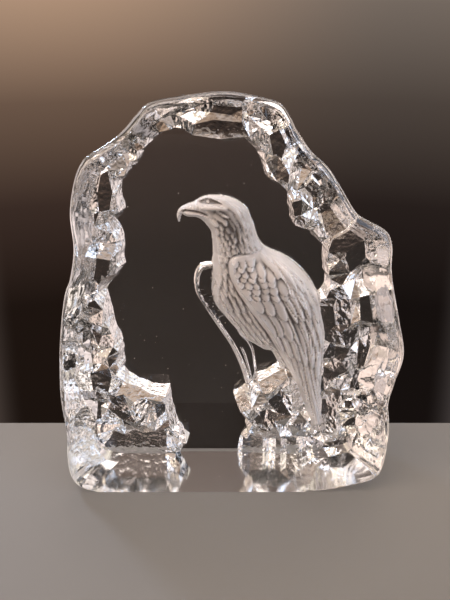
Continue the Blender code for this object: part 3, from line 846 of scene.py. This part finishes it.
def head_detail(relief):
    """Brow, eye, cheek, mouth line and beak."""
    face = np.zeros(relief.across.shape)
    upper_lid = [(-12.9, 114.7), (-10.9, 115.9), (-8.4, 116.5), (-5.8, 115.8), (-2.8, 114.4)]
    lower_lid = [(-12.9, 114.7), (-10.4, 114.4), (-7.6, 114.3), (-4.9, 114.4), (-2.8, 114.4)]
    brow = [(-14.0, 115.5), (-11.5, 116.9), (-8.0, 117.3), (-4.4, 116.8), (-0.4, 115.0)]
    cheek = [(-12.6, 113.2), (-9.5, 113.0), (-5.5, 113.0), (-1.0, 112.9)]
    mouth = [(-19.1, 110.6), (-17.0, 111.4), (-13.5, 111.3), (-10.8, 110.9), (-8.4, 110.0)]
    jaw = [(-17.9, 109.9), (-14.6, 109.9), (-10.6, 109.5)]
    cere = [(-14.6, 114.9), (-13.3, 113.8), (-13.2, 112.0)]
    eye = [*smooth_line(upper_lid, 4), *reversed(smooth_line(lower_lid, 4)[1:-1])]
    hollow = signed_distance(relief, eye)
    face -= 2.1 * rounded(hollow / 0.9)
    face += 1.0 * ridge_along(relief, brow, 0.7)
    face += 0.8 * ridge_along(relief, cheek, 0.8)
    face += 0.5 * ridge_along(relief, jaw, 0.6)
    face -= 1.9 * ridge_along(relief, mouth, 0.40)
    face += 0.6 * ridge_along(relief, cere, 0.45)
    face += 1.3 * bump_at(relief, (-8.6, 115.1), 0.7, 0.5, -5)
    face -= 0.5 * bump_at(relief, (-14.9, 113.2), 0.5, 0.3, 30)
    return face


def groove_shade(relief, depth):
    """How much shade is painted at each point of the relief: 0 on a ridge, 0.4 on a plain part, 1 in a
    groove, with listed patches of painted shade and highlight added.
    """
    fine = softened(depth, 10) - depth
    middle = softened(depth, 50) - depth
    broad = softened(depth, 160) - depth
    # Painted shade in the grooves, at a fine, a middle and a broad scale.
    groove = 1 - (
        (1 - 0.62 * ((fine - 0.02) / 0.24).clip(0, 1))
        * (1 - 0.80 * (middle / 0.75).clip(0, 1))
        * (1 - 0.50 * (broad / 1.2).clip(0, 1))
    )
    # Painted highlight on the ridges.
    ridge = (-middle / 0.50).clip(0, 1)
    # Listed patches of painted shade and painted highlight.
    hollow = sum(amount * bump_at(relief, *swelling) for amount, *swelling in PAINTED_LIGHT_AND_SHADE)
    return (0.4 + 0.6 * groove - 0.4 * ridge * (1 - groove) + hollow).clip(0, 1)


def sample_grid(relief, field, across, up):
    """The field's values between its grid points."""
    column = ((across - relief.x[0]) / relief.step).clip(0, len(relief.x) - 1.001)
    row = ((up - relief.z[0]) / relief.step).clip(0, len(relief.z) - 1.001)
    c, r = column.astype(int), row.astype(int)
    u, v = column - c, row - r
    low = field[r, c] * (1 - u) + field[r, c + 1] * u
    high = field[r + 1, c] * (1 - u) + field[r + 1, c + 1] * u
    return low * (1 - v) + high * v


def shade_grooves(mesh, relief, depth):
    """Stores on the carved block the painted shade of the bird's grooves, ridges and listed patches at each
    of its points.
    """
    places = np.empty(len(mesh.vertices) * 3)
    mesh.vertices.foreach_get("co", places)
    places = places.reshape(-1, 3)
    across = places[:, 0] * DRAWN_WIDTH / WIDTH
    up = places[:, 2] * DRAWN_HEIGHT / HEIGHT
    shade = sample_grid(relief, groove_shade(relief, depth), across, up)
    layer = mesh.attributes.new("groove", "FLOAT", "POINT")
    layer.data.foreach_set("value", shade.astype(np.float32))


def far_side_relief(relief, stations, depth, rim):
    """A shallow clear form with a raised edge, such as the far wing, and where the edge is frosted."""
    lead = smooth_line([(row[0], row[1]) for row in stations], 3)
    back = smooth_line([(row[2], row[3]) for row in stations], 3)
    depth_in = signed_distance(relief, [*lead, *reversed(back)])
    from_lead, along, _ = to_line(relief.across, relief.up, lead)
    form = depth * np.interp(along, [0, 0.4, 1], [1, 0.8, 0.3]) * rounded(depth_in / 1.5, 2.0)
    form = form + rim * (0.8 + 0.8 * along) * np.exp(-(((from_lead - 1.1) / 0.7) ** 2)) * (depth_in > 0)
    strip = (depth_in > -FROST_RIM) & (from_lead < 1.5) & (along > 0.42)
    return np.where(depth_in > 0, form, depth_in * 1.4), strip


def whole_bird(sizes):
    """The near side and the far wing together: the grid, the depth and where it is frosted."""
    relief, depth, frosted = bird_relief(sizes)
    wing, strip = far_side_relief(relief, FAR_WING, 3.4, 0.9)
    spine = [across_stations(FAR_WING, 0.70 + 0.28 * k / 11, 0.50) for k in range(12)]
    wing = wing + 0.5 * ridge_along(relief, spine, 0.35) * (wing > 0.6)
    dice = random.Random(sizes.seed)
    mottle = np.zeros(depth.shape)
    for number in range(9):
        feather_row(relief, mottle, FAR_WING, 0.62 - 0.05 * number, 0.07, 2.4, (0.15, 1.0), 0.5, dice, 0.5)
    wing = wing + mottle * (wing > 2.5)
    total = np.maximum(depth, wing)
    frosted = np.where(depth >= wing - 0.05, frosted, strip)
    return relief, total, frosted


def scatter_dust(mesh, sizes):
    """Adds specks of dust that lie on the polished front, before the window."""
    dice = random.Random(sizes.seed)
    builder = bmesh.new()
    builder.from_mesh(mesh)
    for _ in range(sizes.dust_count):
        x, z = dice.uniform(-45, 30), dice.uniform(4, 142)
        radius = dice.uniform(0.09, 0.20) * MM
        if not point_inside(x, z, WINDOW_EDGE):
            continue
        x, z = place(x, z)
        flat = Matrix.Translation((x, -0.3 * radius, z)) @ Matrix.Scale(0.2, 4, (0, 1, 0))
        made = bmesh.ops.create_icosphere(builder, subdivisions=1, radius=radius, matrix=flat)
        for vertex in made["verts"]:
            for face in vertex.link_faces:
                face.material_index = DUST
    builder.to_mesh(mesh)
    builder.free()


def bird_cutter(relief, depth, frosted, sizes):
    """One closed cutter for the bird: its relief, frosted or polished, up to a flat mouth."""
    node = depth > -SKIRT
    cell = node[:-1, :-1] & node[1:, :-1] & node[:-1, 1:] & node[1:, 1:]
    used = np.zeros(depth.shape, dtype=bool)
    used[:-1, :-1] |= cell
    used[1:, :-1] |= cell
    used[:-1, 1:] |= cell
    used[1:, 1:] |= cell
    index = np.full(depth.shape, -1)
    index[used] = np.arange(used.sum())
    x, z = place(relief.across, relief.up)
    back = thickness_at(z, sizes)
    floor = np.stack([x[used], (back - depth * MM)[used], z[used]], axis=1)
    mouth = np.stack([x[used], (back + sizes.cutter_margin)[used], z[used]], axis=1)
    r, c = np.nonzero(cell)
    faces = np.stack([index[r, c], index[r, c + 1], index[r + 1, c + 1], index[r + 1, c]], axis=1)
    kinds = np.where((frosted[:-1, :-1] & frosted[1:, 1:])[r, c], FROSTED, POLISHED)
    return closed_cutter(
        "bird", floor.tolist(), mouth.tolist(), faces.tolist(), kinds.tolist(), POLISHED)


# Materials

def to_linear(hex_colour):
    """An sRGB hex colour such as #c0ffee as linear red, green, blue and 1."""
    parts = [int(hex_colour[i:i + 2], 16) / 255 for i in (1, 3, 5)]
    return (*(part / 12.92 if part <= 0.04045 else ((part + 0.055) / 1.055) ** 2.4 for part in parts), 1.0)


def add_node(tree, kind, settings=None, values=None, links=None, stops=None):
    """A shader node with its settings, its socket values, the sockets linked into it and, where
    it is a colour ramp, its stops."""
    node = tree.nodes.new(kind)
    for name, value in (settings or {}).items():
        setattr(node, name, value)
    for name, value in (values or {}).items():
        node.inputs[name].default_value = value
    for name, socket in (links or {}).items():
        tree.links.new(socket, node.inputs[name])
    for number, (position, hex_colour) in enumerate(stops or ()):
        elements = node.color_ramp.elements
        element = elements[number] if number < 2 else elements.new(position)
        element.position = position
        element.color = to_linear(hex_colour)
    return node


def new_material(name):
    """An empty node material and its node tree."""
    material = bpy.data.materials.new(name)
    material.use_nodes = True
    material.node_tree.nodes.clear()
    return material, material.node_tree


def polished_crystal(looks):
    """Full-lead crystal, ground flat and polished."""
    # It is clear as water, with crisp reflections and bright edges where it bends the light.
    material, tree = new_material("polished_lead_crystal")
    shader = add_node(tree, "ShaderNodeBsdfPrincipled", values={
        "Base Color": to_linear(looks.crystal_tint), "Roughness": 0.0, "IOR": looks.crystal_ior,
        "Transmission Weight": 1.0,
    })
    add_node(tree, "ShaderNodeOutputMaterial", links={"Surface": shader.outputs["BSDF"]})
    return material


def ground_crystal(looks):
    """Full-lead crystal, ground flat on a wheel and buffed."""
    # It is clear, but it smears what it mirrors into soft streaks.
    material, tree = new_material("ground_lead_crystal")
    shader = add_node(tree, "ShaderNodeBsdfPrincipled", values={
        "Base Color": to_linear(looks.crystal_tint), "Roughness": looks.underside_roughness,
        "IOR": looks.crystal_ior, "Transmission Weight": 1.0,
    })
    add_node(tree, "ShaderNodeOutputMaterial", links={"Surface": shader.outputs["BSDF"]})
    return material


def broken_crystal(looks):
    """Full-lead crystal, cast against a rough rock face."""
    # It is clear and bright on each facet, with small shell-shaped ripples that break up what
    # shows through it. At 360 to the metre a ripple is about 2.8 mm across.
    material, tree = new_material("rock_cast_lead_crystal")
    place_in = add_node(tree, "ShaderNodeTexCoord").outputs["Object"]
    ripples = add_node(
        tree, "ShaderNodeTexNoise", values={"Scale": 360.0, "Detail": 1.5, "Roughness": 0.62},
        links={"Vector": place_in})
    bump = add_node(
        tree, "ShaderNodeBump", values={"Strength": 0.55, "Distance": 0.0012},
        links={"Height": ripples.outputs["Fac"]})
    shader = add_node(tree, "ShaderNodeBsdfPrincipled", values={
        "Base Color": to_linear(looks.crystal_tint), "Roughness": 0.03, "IOR": looks.crystal_ior,
        "Transmission Weight": 1.0,
    }, links={"Normal": bump.outputs["Normal"]})
    add_node(tree, "ShaderNodeOutputMaterial", links={"Surface": shader.outputs["BSDF"]})
    return material


def moulded_crystal(looks):
    """Full-lead crystal, cast against a carved mould."""
    # It is clear, with shallow waves in its skin that pull what shows through it into soft
    # bands. At 120 to the metre a wave is about 8 mm long.
    material, tree = new_material("mould_cast_lead_crystal")
    place_in = add_node(tree, "ShaderNodeTexCoord").outputs["Object"]
    waves = add_node(
        tree, "ShaderNodeTexNoise", values={"Scale": 120.0, "Detail": 1.0}, links={"Vector": place_in})
    bump = add_node(
        tree, "ShaderNodeBump", values={"Strength": 0.35, "Distance": 0.0015},
        links={"Height": waves.outputs["Fac"]})
    shader = add_node(tree, "ShaderNodeBsdfPrincipled", values={
        "Base Color": to_linear(looks.crystal_tint), "Roughness": 0.06, "IOR": looks.crystal_ior,
        "Transmission Weight": 1.0,
    }, links={"Normal": bump.outputs["Normal"]})
    add_node(tree, "ShaderNodeOutputMaterial", links={"Surface": shader.outputs["BSDF"]})
    return material


def frosted_crystal(looks):
    """Full-lead crystal, etched with acid inside the carved bird."""
    # It is pale and soft on the feathers, with painted shade in the grooves between them and painted
    # highlights on their ridges, and with listed patches of painted shade and painted highlight. At 75 to the
    # metre a patch of thicker or thinner frost is about 13 mm across.
    material, tree = new_material("acid_frosted_lead_crystal")
    # The painted shade and highlights stored on the block.
    groove = add_node(tree, "ShaderNodeAttribute", {"attribute_name": "groove"}).outputs["Fac"]
    place_in = add_node(tree, "ShaderNodeTexCoord").outputs["Object"]
    clouds = add_node(
        tree, "ShaderNodeTexNoise", values={"Scale": 75.0, "Detail": 3.0}, links={"Vector": place_in})
    patches = add_node(
        tree, "ShaderNodeMapRange", values={"To Min": -0.22, "To Max": 0.22},
        links={"Value": clouds.outputs["Fac"]})
    # Painted shade and highlights, plus random patches of thicker or thinner frost.
    shade_and_patches = add_node(
        tree, "ShaderNodeMath", {"operation": "ADD"}, links={0: groove, 1: patches.outputs["Result"]})
    # From painted highlight over the plain frost to painted shade.
    colour = add_node(
        tree, "ShaderNodeValToRGB", links={"Fac": shade_and_patches.outputs["Value"]},
        stops=[(0.0, looks.frost_highlight_tint), (0.45, looks.frost_plain_tint), (0.92, looks.groove_shade_tint)])
    shader = add_node(tree, "ShaderNodeBsdfPrincipled", values={
        "Roughness": looks.frost_roughness, "IOR": looks.crystal_ior,
        "Transmission Weight": looks.frost_transmission,
    }, links={"Base Color": colour.outputs["Color"]})
    add_node(tree, "ShaderNodeOutputMaterial", links={"Surface": shader.outputs["BSDF"]})
    return material


def settled_dust(looks):
    """Household dust, settled in specks."""
    # It is matt, pale grey and uneven. At 2000 to the metre a clump in it is about 0.5 mm across.
    material, tree = new_material("household_dust")
    place_in = add_node(tree, "ShaderNodeTexCoord").outputs["Object"]
    clumps = add_node(tree, "ShaderNodeTexNoise", values={"Scale": 2000.0}, links={"Vector": place_in})
    colour = add_node(
        tree, "ShaderNodeValToRGB", links={"Fac": clumps.outputs["Fac"]},
        stops=[(0.0, looks.dust_dark), (1.0, looks.dust_light)])
    shader = add_node(
        tree, "ShaderNodeBsdfPrincipled", values={"Roughness": 0.9},
        links={"Base Color": colour.outputs["Color"]})
    add_node(tree, "ShaderNodeOutputMaterial", links={"Surface": shader.outputs["BSDF"]})
    return material


def matt_floor(stage):
    """Painted board under the block."""
    # It is plain and matt, with a painted pool of light round the block: its colour shades off evenly from
    # lighter at the block to darker away from it, from 90 mm out to 270 mm.
    material, tree = new_material("pale_matt_floor")
    place_in = add_node(tree, "ShaderNodeNewGeometry").outputs["Position"]
    away = add_node(tree, "ShaderNodeVectorMath", {"operation": "LENGTH"}, links={0: place_in})
    colour = add_node(
        tree, "ShaderNodeValToRGB", links={"Fac": away.outputs["Value"]},
        stops=[(0.09, stage.floor_near), (0.27, stage.floor_far)])
    shader = add_node(
        tree, "ShaderNodeBsdfPrincipled", values={"Roughness": 0.6},
        links={"Base Color": colour.outputs["Color"]})
    add_node(tree, "ShaderNodeOutputMaterial", links={"Surface": shader.outputs["BSDF"]})
    return material


# The stage

# The softboxes: name, place in metres, width and height, power in watts and colour.
SOFTBOXES = [
    ("back_softbox", (0.1, 0.55, 0.98), (1.6, 0.8), 4.5, "#ffefe4"),
    ("overhead_softbox", (-0.25, -0.2, 0.8), (0.5, 0.4), 1.5, "#ffeee2"),
    ("small_lamp", (-0.45, 0.45, 0.5), (0.1, 0.1), 2.0, "#cfe0ff"),
]
LIT_POINT = (0, 0, 0.08)

# The studio's colours by height, from straight down at 0 over level at 0.5 to straight up at 1.
STUDIO_COLOURS = {
    "behind_left": [
        (0.0, "#8f7f76"), (0.12, "#8f7c72"), (0.19, "#211813"), (0.30, "#241a15"), (0.356, "#45352e"),
        (0.414, "#7d6555"), (0.47, "#caa78c"), (0.53, "#eccfb9"), (0.60, "#f6e0d4"), (0.66, "#b49d8f"),
        (0.71, "#6e5d54"), (0.80, "#6e5d54"), (0.86, "#e0ccc5"), (1.0, "#f4e3de"),
    ],
    "behind_right": [
        (0.0, "#8f7f76"), (0.12, "#8f7c72"), (0.19, "#1b1513"), (0.30, "#1b1513"), (0.356, "#2f2623"),
        (0.414, "#5a4f48"), (0.47, "#877a70"), (0.53, "#cab7ac"), (0.60, "#ead8d0"), (0.66, "#b09f97"),
        (0.71, "#675a55"), (0.80, "#675a55"), (0.86, "#e0d0cd"), (1.0, "#f4e3de"),
    ],
    "beside_left": [
        (0.0, "#6e615c"), (0.2, "#a8968d"), (0.35, "#e4ccbf"), (0.5, "#a08f86"), (0.69, "#d2bfaa"),
        (0.80, "#a09284"), (1.0, "#f4e3de"),
    ],
    "beside_right": [
        (0.0, "#686161"), (0.2, "#a09695"), (0.35, "#dcccc7"), (0.5, "#9a8f8b"), (0.69, "#d2c6b6"),
        (0.80, "#a0978c"), (1.0, "#f4e3de"),
    ],
    "in_front": [
        (0.0, "#2a2320"), (0.48, "#4a3f39"), (0.56, "#c8b4a8"), (0.77, "#dcc8bd"), (0.81, "#241d1a"),
        (0.90, "#241d1a"), (0.94, "#f0dcd2"),
    ],
}

# Where the colours run into one another: the new colour, what decides it, from where to where,
# and the two colours. "across" is how far a direction points to the right, and "aside" is its
# angle from straight behind the block, in radians.
STUDIO_BLENDS = [
    ("beside", "across", -0.3, 0.3, "beside_left", "beside_right"),
    ("behind", "across", -0.22, 0.22, "behind_left", "behind_right"),
    ("back_half", "aside", 0.28, 0.46, "behind", "beside"),
    ("all_round", "aside", 2.3, 2.7, "back_half", "in_front"),
]

# The two brightest places in the studio, as directions from the block: the key light, high up at
# the front left, and cool daylight at the front right. How near a direction lies to either is 1
# at its middle and less away from it.
LAMPS = {"key": (-0.55, -0.50, 0.67), "daylight": (0.80, -0.44, 0.41)}
DAYLIGHT_COLOUR = "#dce8ff"
DAYLIGHT_EDGE = (0.80, 0.88)

# How bright the studio is: what decides it, from where to where, and the strength at both ends.
# The greatest of the four counts.
STUDIO_STRENGTHS = [
    ("up", 0.60, 0.80, 0.7, 1.5),
    ("aside", 0.28, 0.55, 0.7, 1.6),
    ("key", 0.78, 0.92, 0.0, 6.8),
    ("daylight", 0.84, 0.94, 0.0, 2.6),
]
EASED = {"interpolation_type": "SMOOTHSTEP"}

# The floor's width and thickness, and how far it lies below the glass, so that they don't touch.
FLOOR_WIDTH = 1.1
FLOOR_THICKNESS = 0.03
FLOOR_GAP = 0.0001


def add_camera(scene, stage):
    """Makes the camera, level from side to side, that looks down on the block."""
    data = bpy.data.cameras.new("camera")
    data.lens = stage.camera_lens
    data.clip_start = 0.01
    camera = bpy.data.objects.new("camera", data)
    camera.location = stage.camera_place
    camera.rotation_euler = (math.pi / 2 - stage.camera_pitch, 0, 0)
    scene.collection.objects.link(camera)
    scene.camera = camera


def add_floor(scene, stage):
    """Makes the floor, which ends close behind the block, so that the glass shows the backdrop."""
    builder = bmesh.new()
    bmesh.ops.create_cube(builder, size=1.0)
    mesh = bpy.data.meshes.new("floor")
    builder.to_mesh(mesh)
    builder.free()
    mesh.materials.append(matt_floor(stage))
    floor = bpy.data.objects.new("floor", mesh)
    floor.scale = (FLOOR_WIDTH, stage.floor_depth, FLOOR_THICKNESS)
    back = BLOCK_HIGH.y + stage.floor_behind
    floor.location = (0, back - stage.floor_depth / 2, -FLOOR_THICKNESS / 2 - FLOOR_GAP)
    scene.collection.objects.link(floor)


def add_softboxes(scene):
    """Makes the soft lamps, each turned to the middle of the block."""
    for name, location, size, power, colour in SOFTBOXES:
        data = bpy.data.lights.new(name, "AREA")
        data.shape = "RECTANGLE"
        data.size, data.size_y = size
        data.energy = power
        data.color = to_linear(colour)[:3]
        light = bpy.data.objects.new(name, data)
        light.location = location
        towards = Vector(LIT_POINT) - Vector(location)
        light.rotation_euler = towards.to_track_quat("-Z", "Y").to_euler()
        scene.collection.objects.link(light)


def add_studio(scene):
    """Makes the studio round the block, as a world that lights it: its colours and brightness."""
    world = bpy.data.worlds.new("dark_field_studio")
    scene.world = world
    world.use_nodes = True
    tree = world.node_tree
    tree.nodes.clear()
    direction = add_node(tree, "ShaderNodeTexCoord").outputs["Generated"]
    parts = add_node(tree, "ShaderNodeSeparateXYZ", links={"Vector": direction})
    height = add_node(
        tree, "ShaderNodeMapRange", values={"From Min": -1.0, "From Max": 1.0},
        links={"Value": parts.outputs["Z"]})
    turn = add_node(
        tree, "ShaderNodeMath", {"operation": "ARCTAN2"},
        links={0: parts.outputs["X"], 1: parts.outputs["Y"]})
    aside = add_node(tree, "ShaderNodeMath", {"operation": "ABSOLUTE"}, links={0: turn.outputs["Value"]})
    measures = {"across": parts.outputs["X"], "up": parts.outputs["Z"], "aside": aside.outputs["Value"]}
    for name, lamp in LAMPS.items():
        near = add_node(
            tree, "ShaderNodeVectorMath", {"operation": "DOT_PRODUCT"}, {1: lamp}, {0: direction})
        measures[name] = near.outputs["Value"]

    colours = {}
    for name, stops in STUDIO_COLOURS.items():
        ramp = add_node(tree, "ShaderNodeValToRGB", links={"Fac": height.outputs["Result"]}, stops=stops)
        colours[name] = ramp.outputs["Color"]
    for name, measure, low, high, first, second in STUDIO_BLENDS:
        share = add_node(
            tree, "ShaderNodeMapRange", EASED, {"From Min": low, "From Max": high},
            {"Value": measures[measure]})
        mixed = add_node(tree, "ShaderNodeMix", {"data_type": "RGBA"}, links={
            "Factor": share.outputs["Result"], 6: colours[first], 7: colours[second]})
        colours[name] = mixed.outputs[2]
    low, high = DAYLIGHT_EDGE
    share = add_node(
        tree, "ShaderNodeMapRange", EASED, {"From Min": low, "From Max": high},
        {"Value": measures["daylight"]})
    colour = add_node(
        tree, "ShaderNodeMix", {"data_type": "RGBA"}, {7: to_linear(DAYLIGHT_COLOUR)},
        {"Factor": share.outputs["Result"], 6: colours["all_round"]})

    strengths = []
    for measure, low, high, least, most in STUDIO_STRENGTHS:
        strength = add_node(
            tree, "ShaderNodeMapRange", EASED,
            {"From Min": low, "From Max": high, "To Min": least, "To Max": most},
            {"Value": measures[measure]})
        strengths.append(strength.outputs["Result"])
    brightest = strengths[0]
    for strength in strengths[1:]:
        greater = add_node(
            tree, "ShaderNodeMath", {"operation": "MAXIMUM"}, links={0: brightest, 1: strength})
        brightest = greater.outputs["Value"]
    backdrop = add_node(
        tree, "ShaderNodeBackground", links={"Color": colour.outputs[2], "Strength": brightest})
    add_node(tree, "ShaderNodeOutputWorld", links={"Surface": backdrop.outputs["Background"]})


# Settings that a user would change

class CrystalEagleSizes(bpy.types.PropertyGroup):
    """Sizes of the block and its carving."""

    top_thickness: FloatProperty(
        name="Top thickness", description="Thickness of the block at its top", default=0.040,
        unit="LENGTH")
    edge_radius: FloatProperty(
        name="Edge radius", description="Rounding of the front edge", default=0.003, unit="LENGTH")
    edge_steps: IntProperty(
        name="Edge steps", description="Faces across the front edge's rounding", default=8)
    outline_steps: IntProperty(
        name="Outline steps", description="Points to each stretch of the outline", default=8)
    rock_depth: FloatProperty(
        name="Rock depth", description="How deep the rocks lie below the back face", default=0.0125,
        unit="LENGTH")
    rock_uneven: FloatProperty(
        name="Rock unevenness", description="How much the rocks' corners differ in depth",
        default=0.0026, unit="LENGTH", precision=4)
    wall_uneven: FloatProperty(
        name="Wall unevenness", description="How far the hewn wall's corners are dented",
        default=0.0018, unit="LENGTH", precision=4)
    cutter_margin: FloatProperty(
        name="Cutter margin", description="How far a cutter stands out behind the back face",
        default=0.006, unit="LENGTH")
    bird_depth: FloatProperty(
        name="Bird depth", description="Greatest depth of the bird's body", default=0.0130,
        unit="LENGTH")
    grid_step: FloatProperty(
        name="Relief grid", description="Spacing of the bird's relief points",
        default=0.00031, unit="LENGTH", precision=5)
    dust_count: IntProperty(
        name="Dust", description="How many places for a speck of dust are tried on the front",
        default=90)
    seed: IntProperty(
        name="Seed", description="Number that all the random shapes start from", default=7)


class CrystalEagleLooks(bpy.types.PropertyGroup):
    """Colours and finish of the crystal and the dust, with the painted light and shade on the bird."""

    crystal_tint: StringProperty(
        name="Crystal tint", description="sRGB hex colour of the clear crystal", default="#fbfcfc")
    crystal_ior: FloatProperty(
        name="Crystal IOR", description="Refractive index of full-lead crystal", default=1.54, min=1.0)
    underside_roughness: FloatProperty(
        name="Underside roughness", description="Roughness of the ground underside", default=0.10,
        subtype="FACTOR")
    # The painted highlight on the bird's ridges and lit patches.
    frost_highlight_tint: StringProperty(
        name="Frost tint", description="sRGB hex colour of the thick frost", default="#fffaf8")
    # The frost's colour on its plain parts.
    frost_plain_tint: StringProperty(
        name="Thin frost tint", description="sRGB hex colour of the thin frost", default="#fbf1ea")
    # The painted shade in the grooves between feathers and in the shaded patches.
    groove_shade_tint: StringProperty(
        name="Groove tint", description="sRGB hex colour of the grooves between feathers",
        default="#3f322b")
    frost_roughness: FloatProperty(
        name="Frost roughness", description="Roughness of the frost", default=0.45, subtype="FACTOR")
    frost_transmission: FloatProperty(
        name="Frost transmission", description="Share of light that the frost lets through",
        default=0.50, subtype="FACTOR")
    dust_dark: StringProperty(
        name="Dark dust", description="sRGB hex colour of the dust's dark parts", default="#6e6862")
    dust_light: StringProperty(
        name="Light dust", description="sRGB hex colour of the dust's light parts", default="#b8b0a6")


class CrystalEagleStage(bpy.types.PropertyGroup):
    """Camera and floor."""

    camera_place: FloatVectorProperty(
        name="Camera place", description="Where the camera stands", default=(-0.002, -0.295, 0.205),
        subtype="TRANSLATION", unit="LENGTH")
    camera_pitch: FloatProperty(
        name="Camera pitch", description="How far the camera looks down",
        default=math.radians(23.8365), subtype="ANGLE", unit="ROTATION")
    camera_lens: FloatProperty(
        name="Lens", description="Focal length on a 36 mm sensor", default=48.463, unit="CAMERA")
    floor_depth: FloatProperty(
        name="Floor depth", description="Length of the floor from back to front", default=1.2,
        unit="LENGTH")
    floor_behind: FloatProperty(
        name="Floor behind", description="How far the floor runs on behind the block",
        default=0.002, unit="LENGTH")
    # The floor's colours at the block and away from it paint a pool of light round the block.
    floor_near: StringProperty(
        name="Floor near", description="sRGB hex colour of the floor at the block", default="#66645f")
    floor_far: StringProperty(
        name="Floor far", description="sRGB hex colour of the floor away from the block",
        default="#504d48")


# Operators

class MESH_OT_carved_crystal(bpy.types.Operator):
    """Makes the crystal block with the rocks and the bird carved into its back."""

    bl_idname = "mesh.carved_crystal"
    bl_label = "Carved crystal"

    def execute(self, context):
        sizes, looks = context.scene.crystal_eagle_sizes, context.scene.crystal_eagle_looks
        block = block_body(sizes)
        context.scene.collection.objects.link(block)
        shelf = bpy.data.collections.new("cutters")
        context.scene.collection.children.link(shelf)
        relief, depth, frosted = whole_bird(sizes)
        for cutter in (rock_cutter(sizes), bird_cutter(relief, depth, frosted, sizes)):
            shelf.objects.link(cutter)
        cut = block.modifiers.new("carving", "BOOLEAN")
        cut.operation = "DIFFERENCE"
        cut.operand_type = "COLLECTION"
        cut.collection = shelf
        cut.material_mode = "INDEX"
        materials = {
            POLISHED: polished_crystal, ROCK: broken_crystal, FROSTED: frosted_crystal,
            SKIN: moulded_crystal, DUST: settled_dust, GROUND: ground_crystal,
        }
        for kind in sorted(materials):
            material = materials[kind](looks)
            for thing in (block, *shelf.objects):
                thing.data.materials.append(material)
        graph = context.evaluated_depsgraph_get()
        carved = bpy.data.meshes.new_from_object(block.evaluated_get(graph), depsgraph=graph)
        if not carved.polygons:
            raise RuntimeError("The cutters left nothing of the block.")
        block.modifiers.clear()
        block.data = carved
        for cutter in list(shelf.objects):
            bpy.data.objects.remove(cutter)
        bpy.data.collections.remove(shelf)
        shade_grooves(carved, relief, depth)
        scatter_dust(carved, sizes)
        carved.transform(Matrix.Translation((0, BLOCK_LOW.y, BLOCK_LOW.z)))
        kinds = np.empty(len(carved.polygons), dtype=np.int32)
        carved.polygons.foreach_get("material_index", kinds)
        carved.shade_smooth()
        carved.set_sharp_from_angle(angle=SHARP_ANGLE)
        carved.polygons.foreach_set("use_smooth", np.isin(kinds, (POLISHED, FROSTED)))
        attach(block, "root")
        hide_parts("crystal_block")
        return {"FINISHED"}


class SCENE_OT_crystal_stage(bpy.types.Operator):
    """Makes the floor, the studio light and the camera."""

    bl_idname = "scene.crystal_stage"
    bl_label = "Stage"

    def execute(self, context):
        stage = context.scene.crystal_eagle_stage
        add_camera(context.scene, stage)
        add_floor(context.scene, stage)
        add_softboxes(context.scene)
        add_studio(context.scene)
        context.scene.view_settings.view_transform = "Standard"
        return {"FINISHED"}


class VIEW3D_PT_crystal_eagle(bpy.types.Panel):
    """Lists the operators and their settings."""

    bl_label = "Crystal Eagle"
    bl_space_type = "VIEW_3D"
    bl_region_type = "UI"
    bl_category = "Crystal Eagle"

    def draw(self, context):
        scene = context.scene
        for operator in OPERATORS:
            self.layout.operator(operator)
        for group in (scene.crystal_eagle_sizes, scene.crystal_eagle_looks, scene.crystal_eagle_stage):
            for setting in type(group).__annotations__:
                self.layout.prop(group, setting)


OPERATORS = ("mesh.carved_crystal", "scene.crystal_stage")
CLASSES = (
    CrystalEagleSizes, CrystalEagleLooks, CrystalEagleStage, MESH_OT_carved_crystal,
    SCENE_OT_crystal_stage, VIEW3D_PT_crystal_eagle,
)


def register():
    """Adds the classes and their settings to Blender."""
    for cls in CLASSES:
        bpy.utils.register_class(cls)
    bpy.types.Scene.crystal_eagle_sizes = PointerProperty(type=CrystalEagleSizes)
    bpy.types.Scene.crystal_eagle_looks = PointerProperty(type=CrystalEagleLooks)
    bpy.types.Scene.crystal_eagle_stage = PointerProperty(type=CrystalEagleStage)


def unregister():
    """Takes the settings and the classes out again."""
    del bpy.types.Scene.crystal_eagle_stage
    del bpy.types.Scene.crystal_eagle_looks
    del bpy.types.Scene.crystal_eagle_sizes
    for cls in reversed(CLASSES):
        bpy.utils.unregister_class(cls)


def main():
    """Makes everything in order."""
    register()
    bpy.ops.mesh.carved_crystal()
    bpy.ops.scene.crystal_stage()


if __name__ == "__main__":
    main()
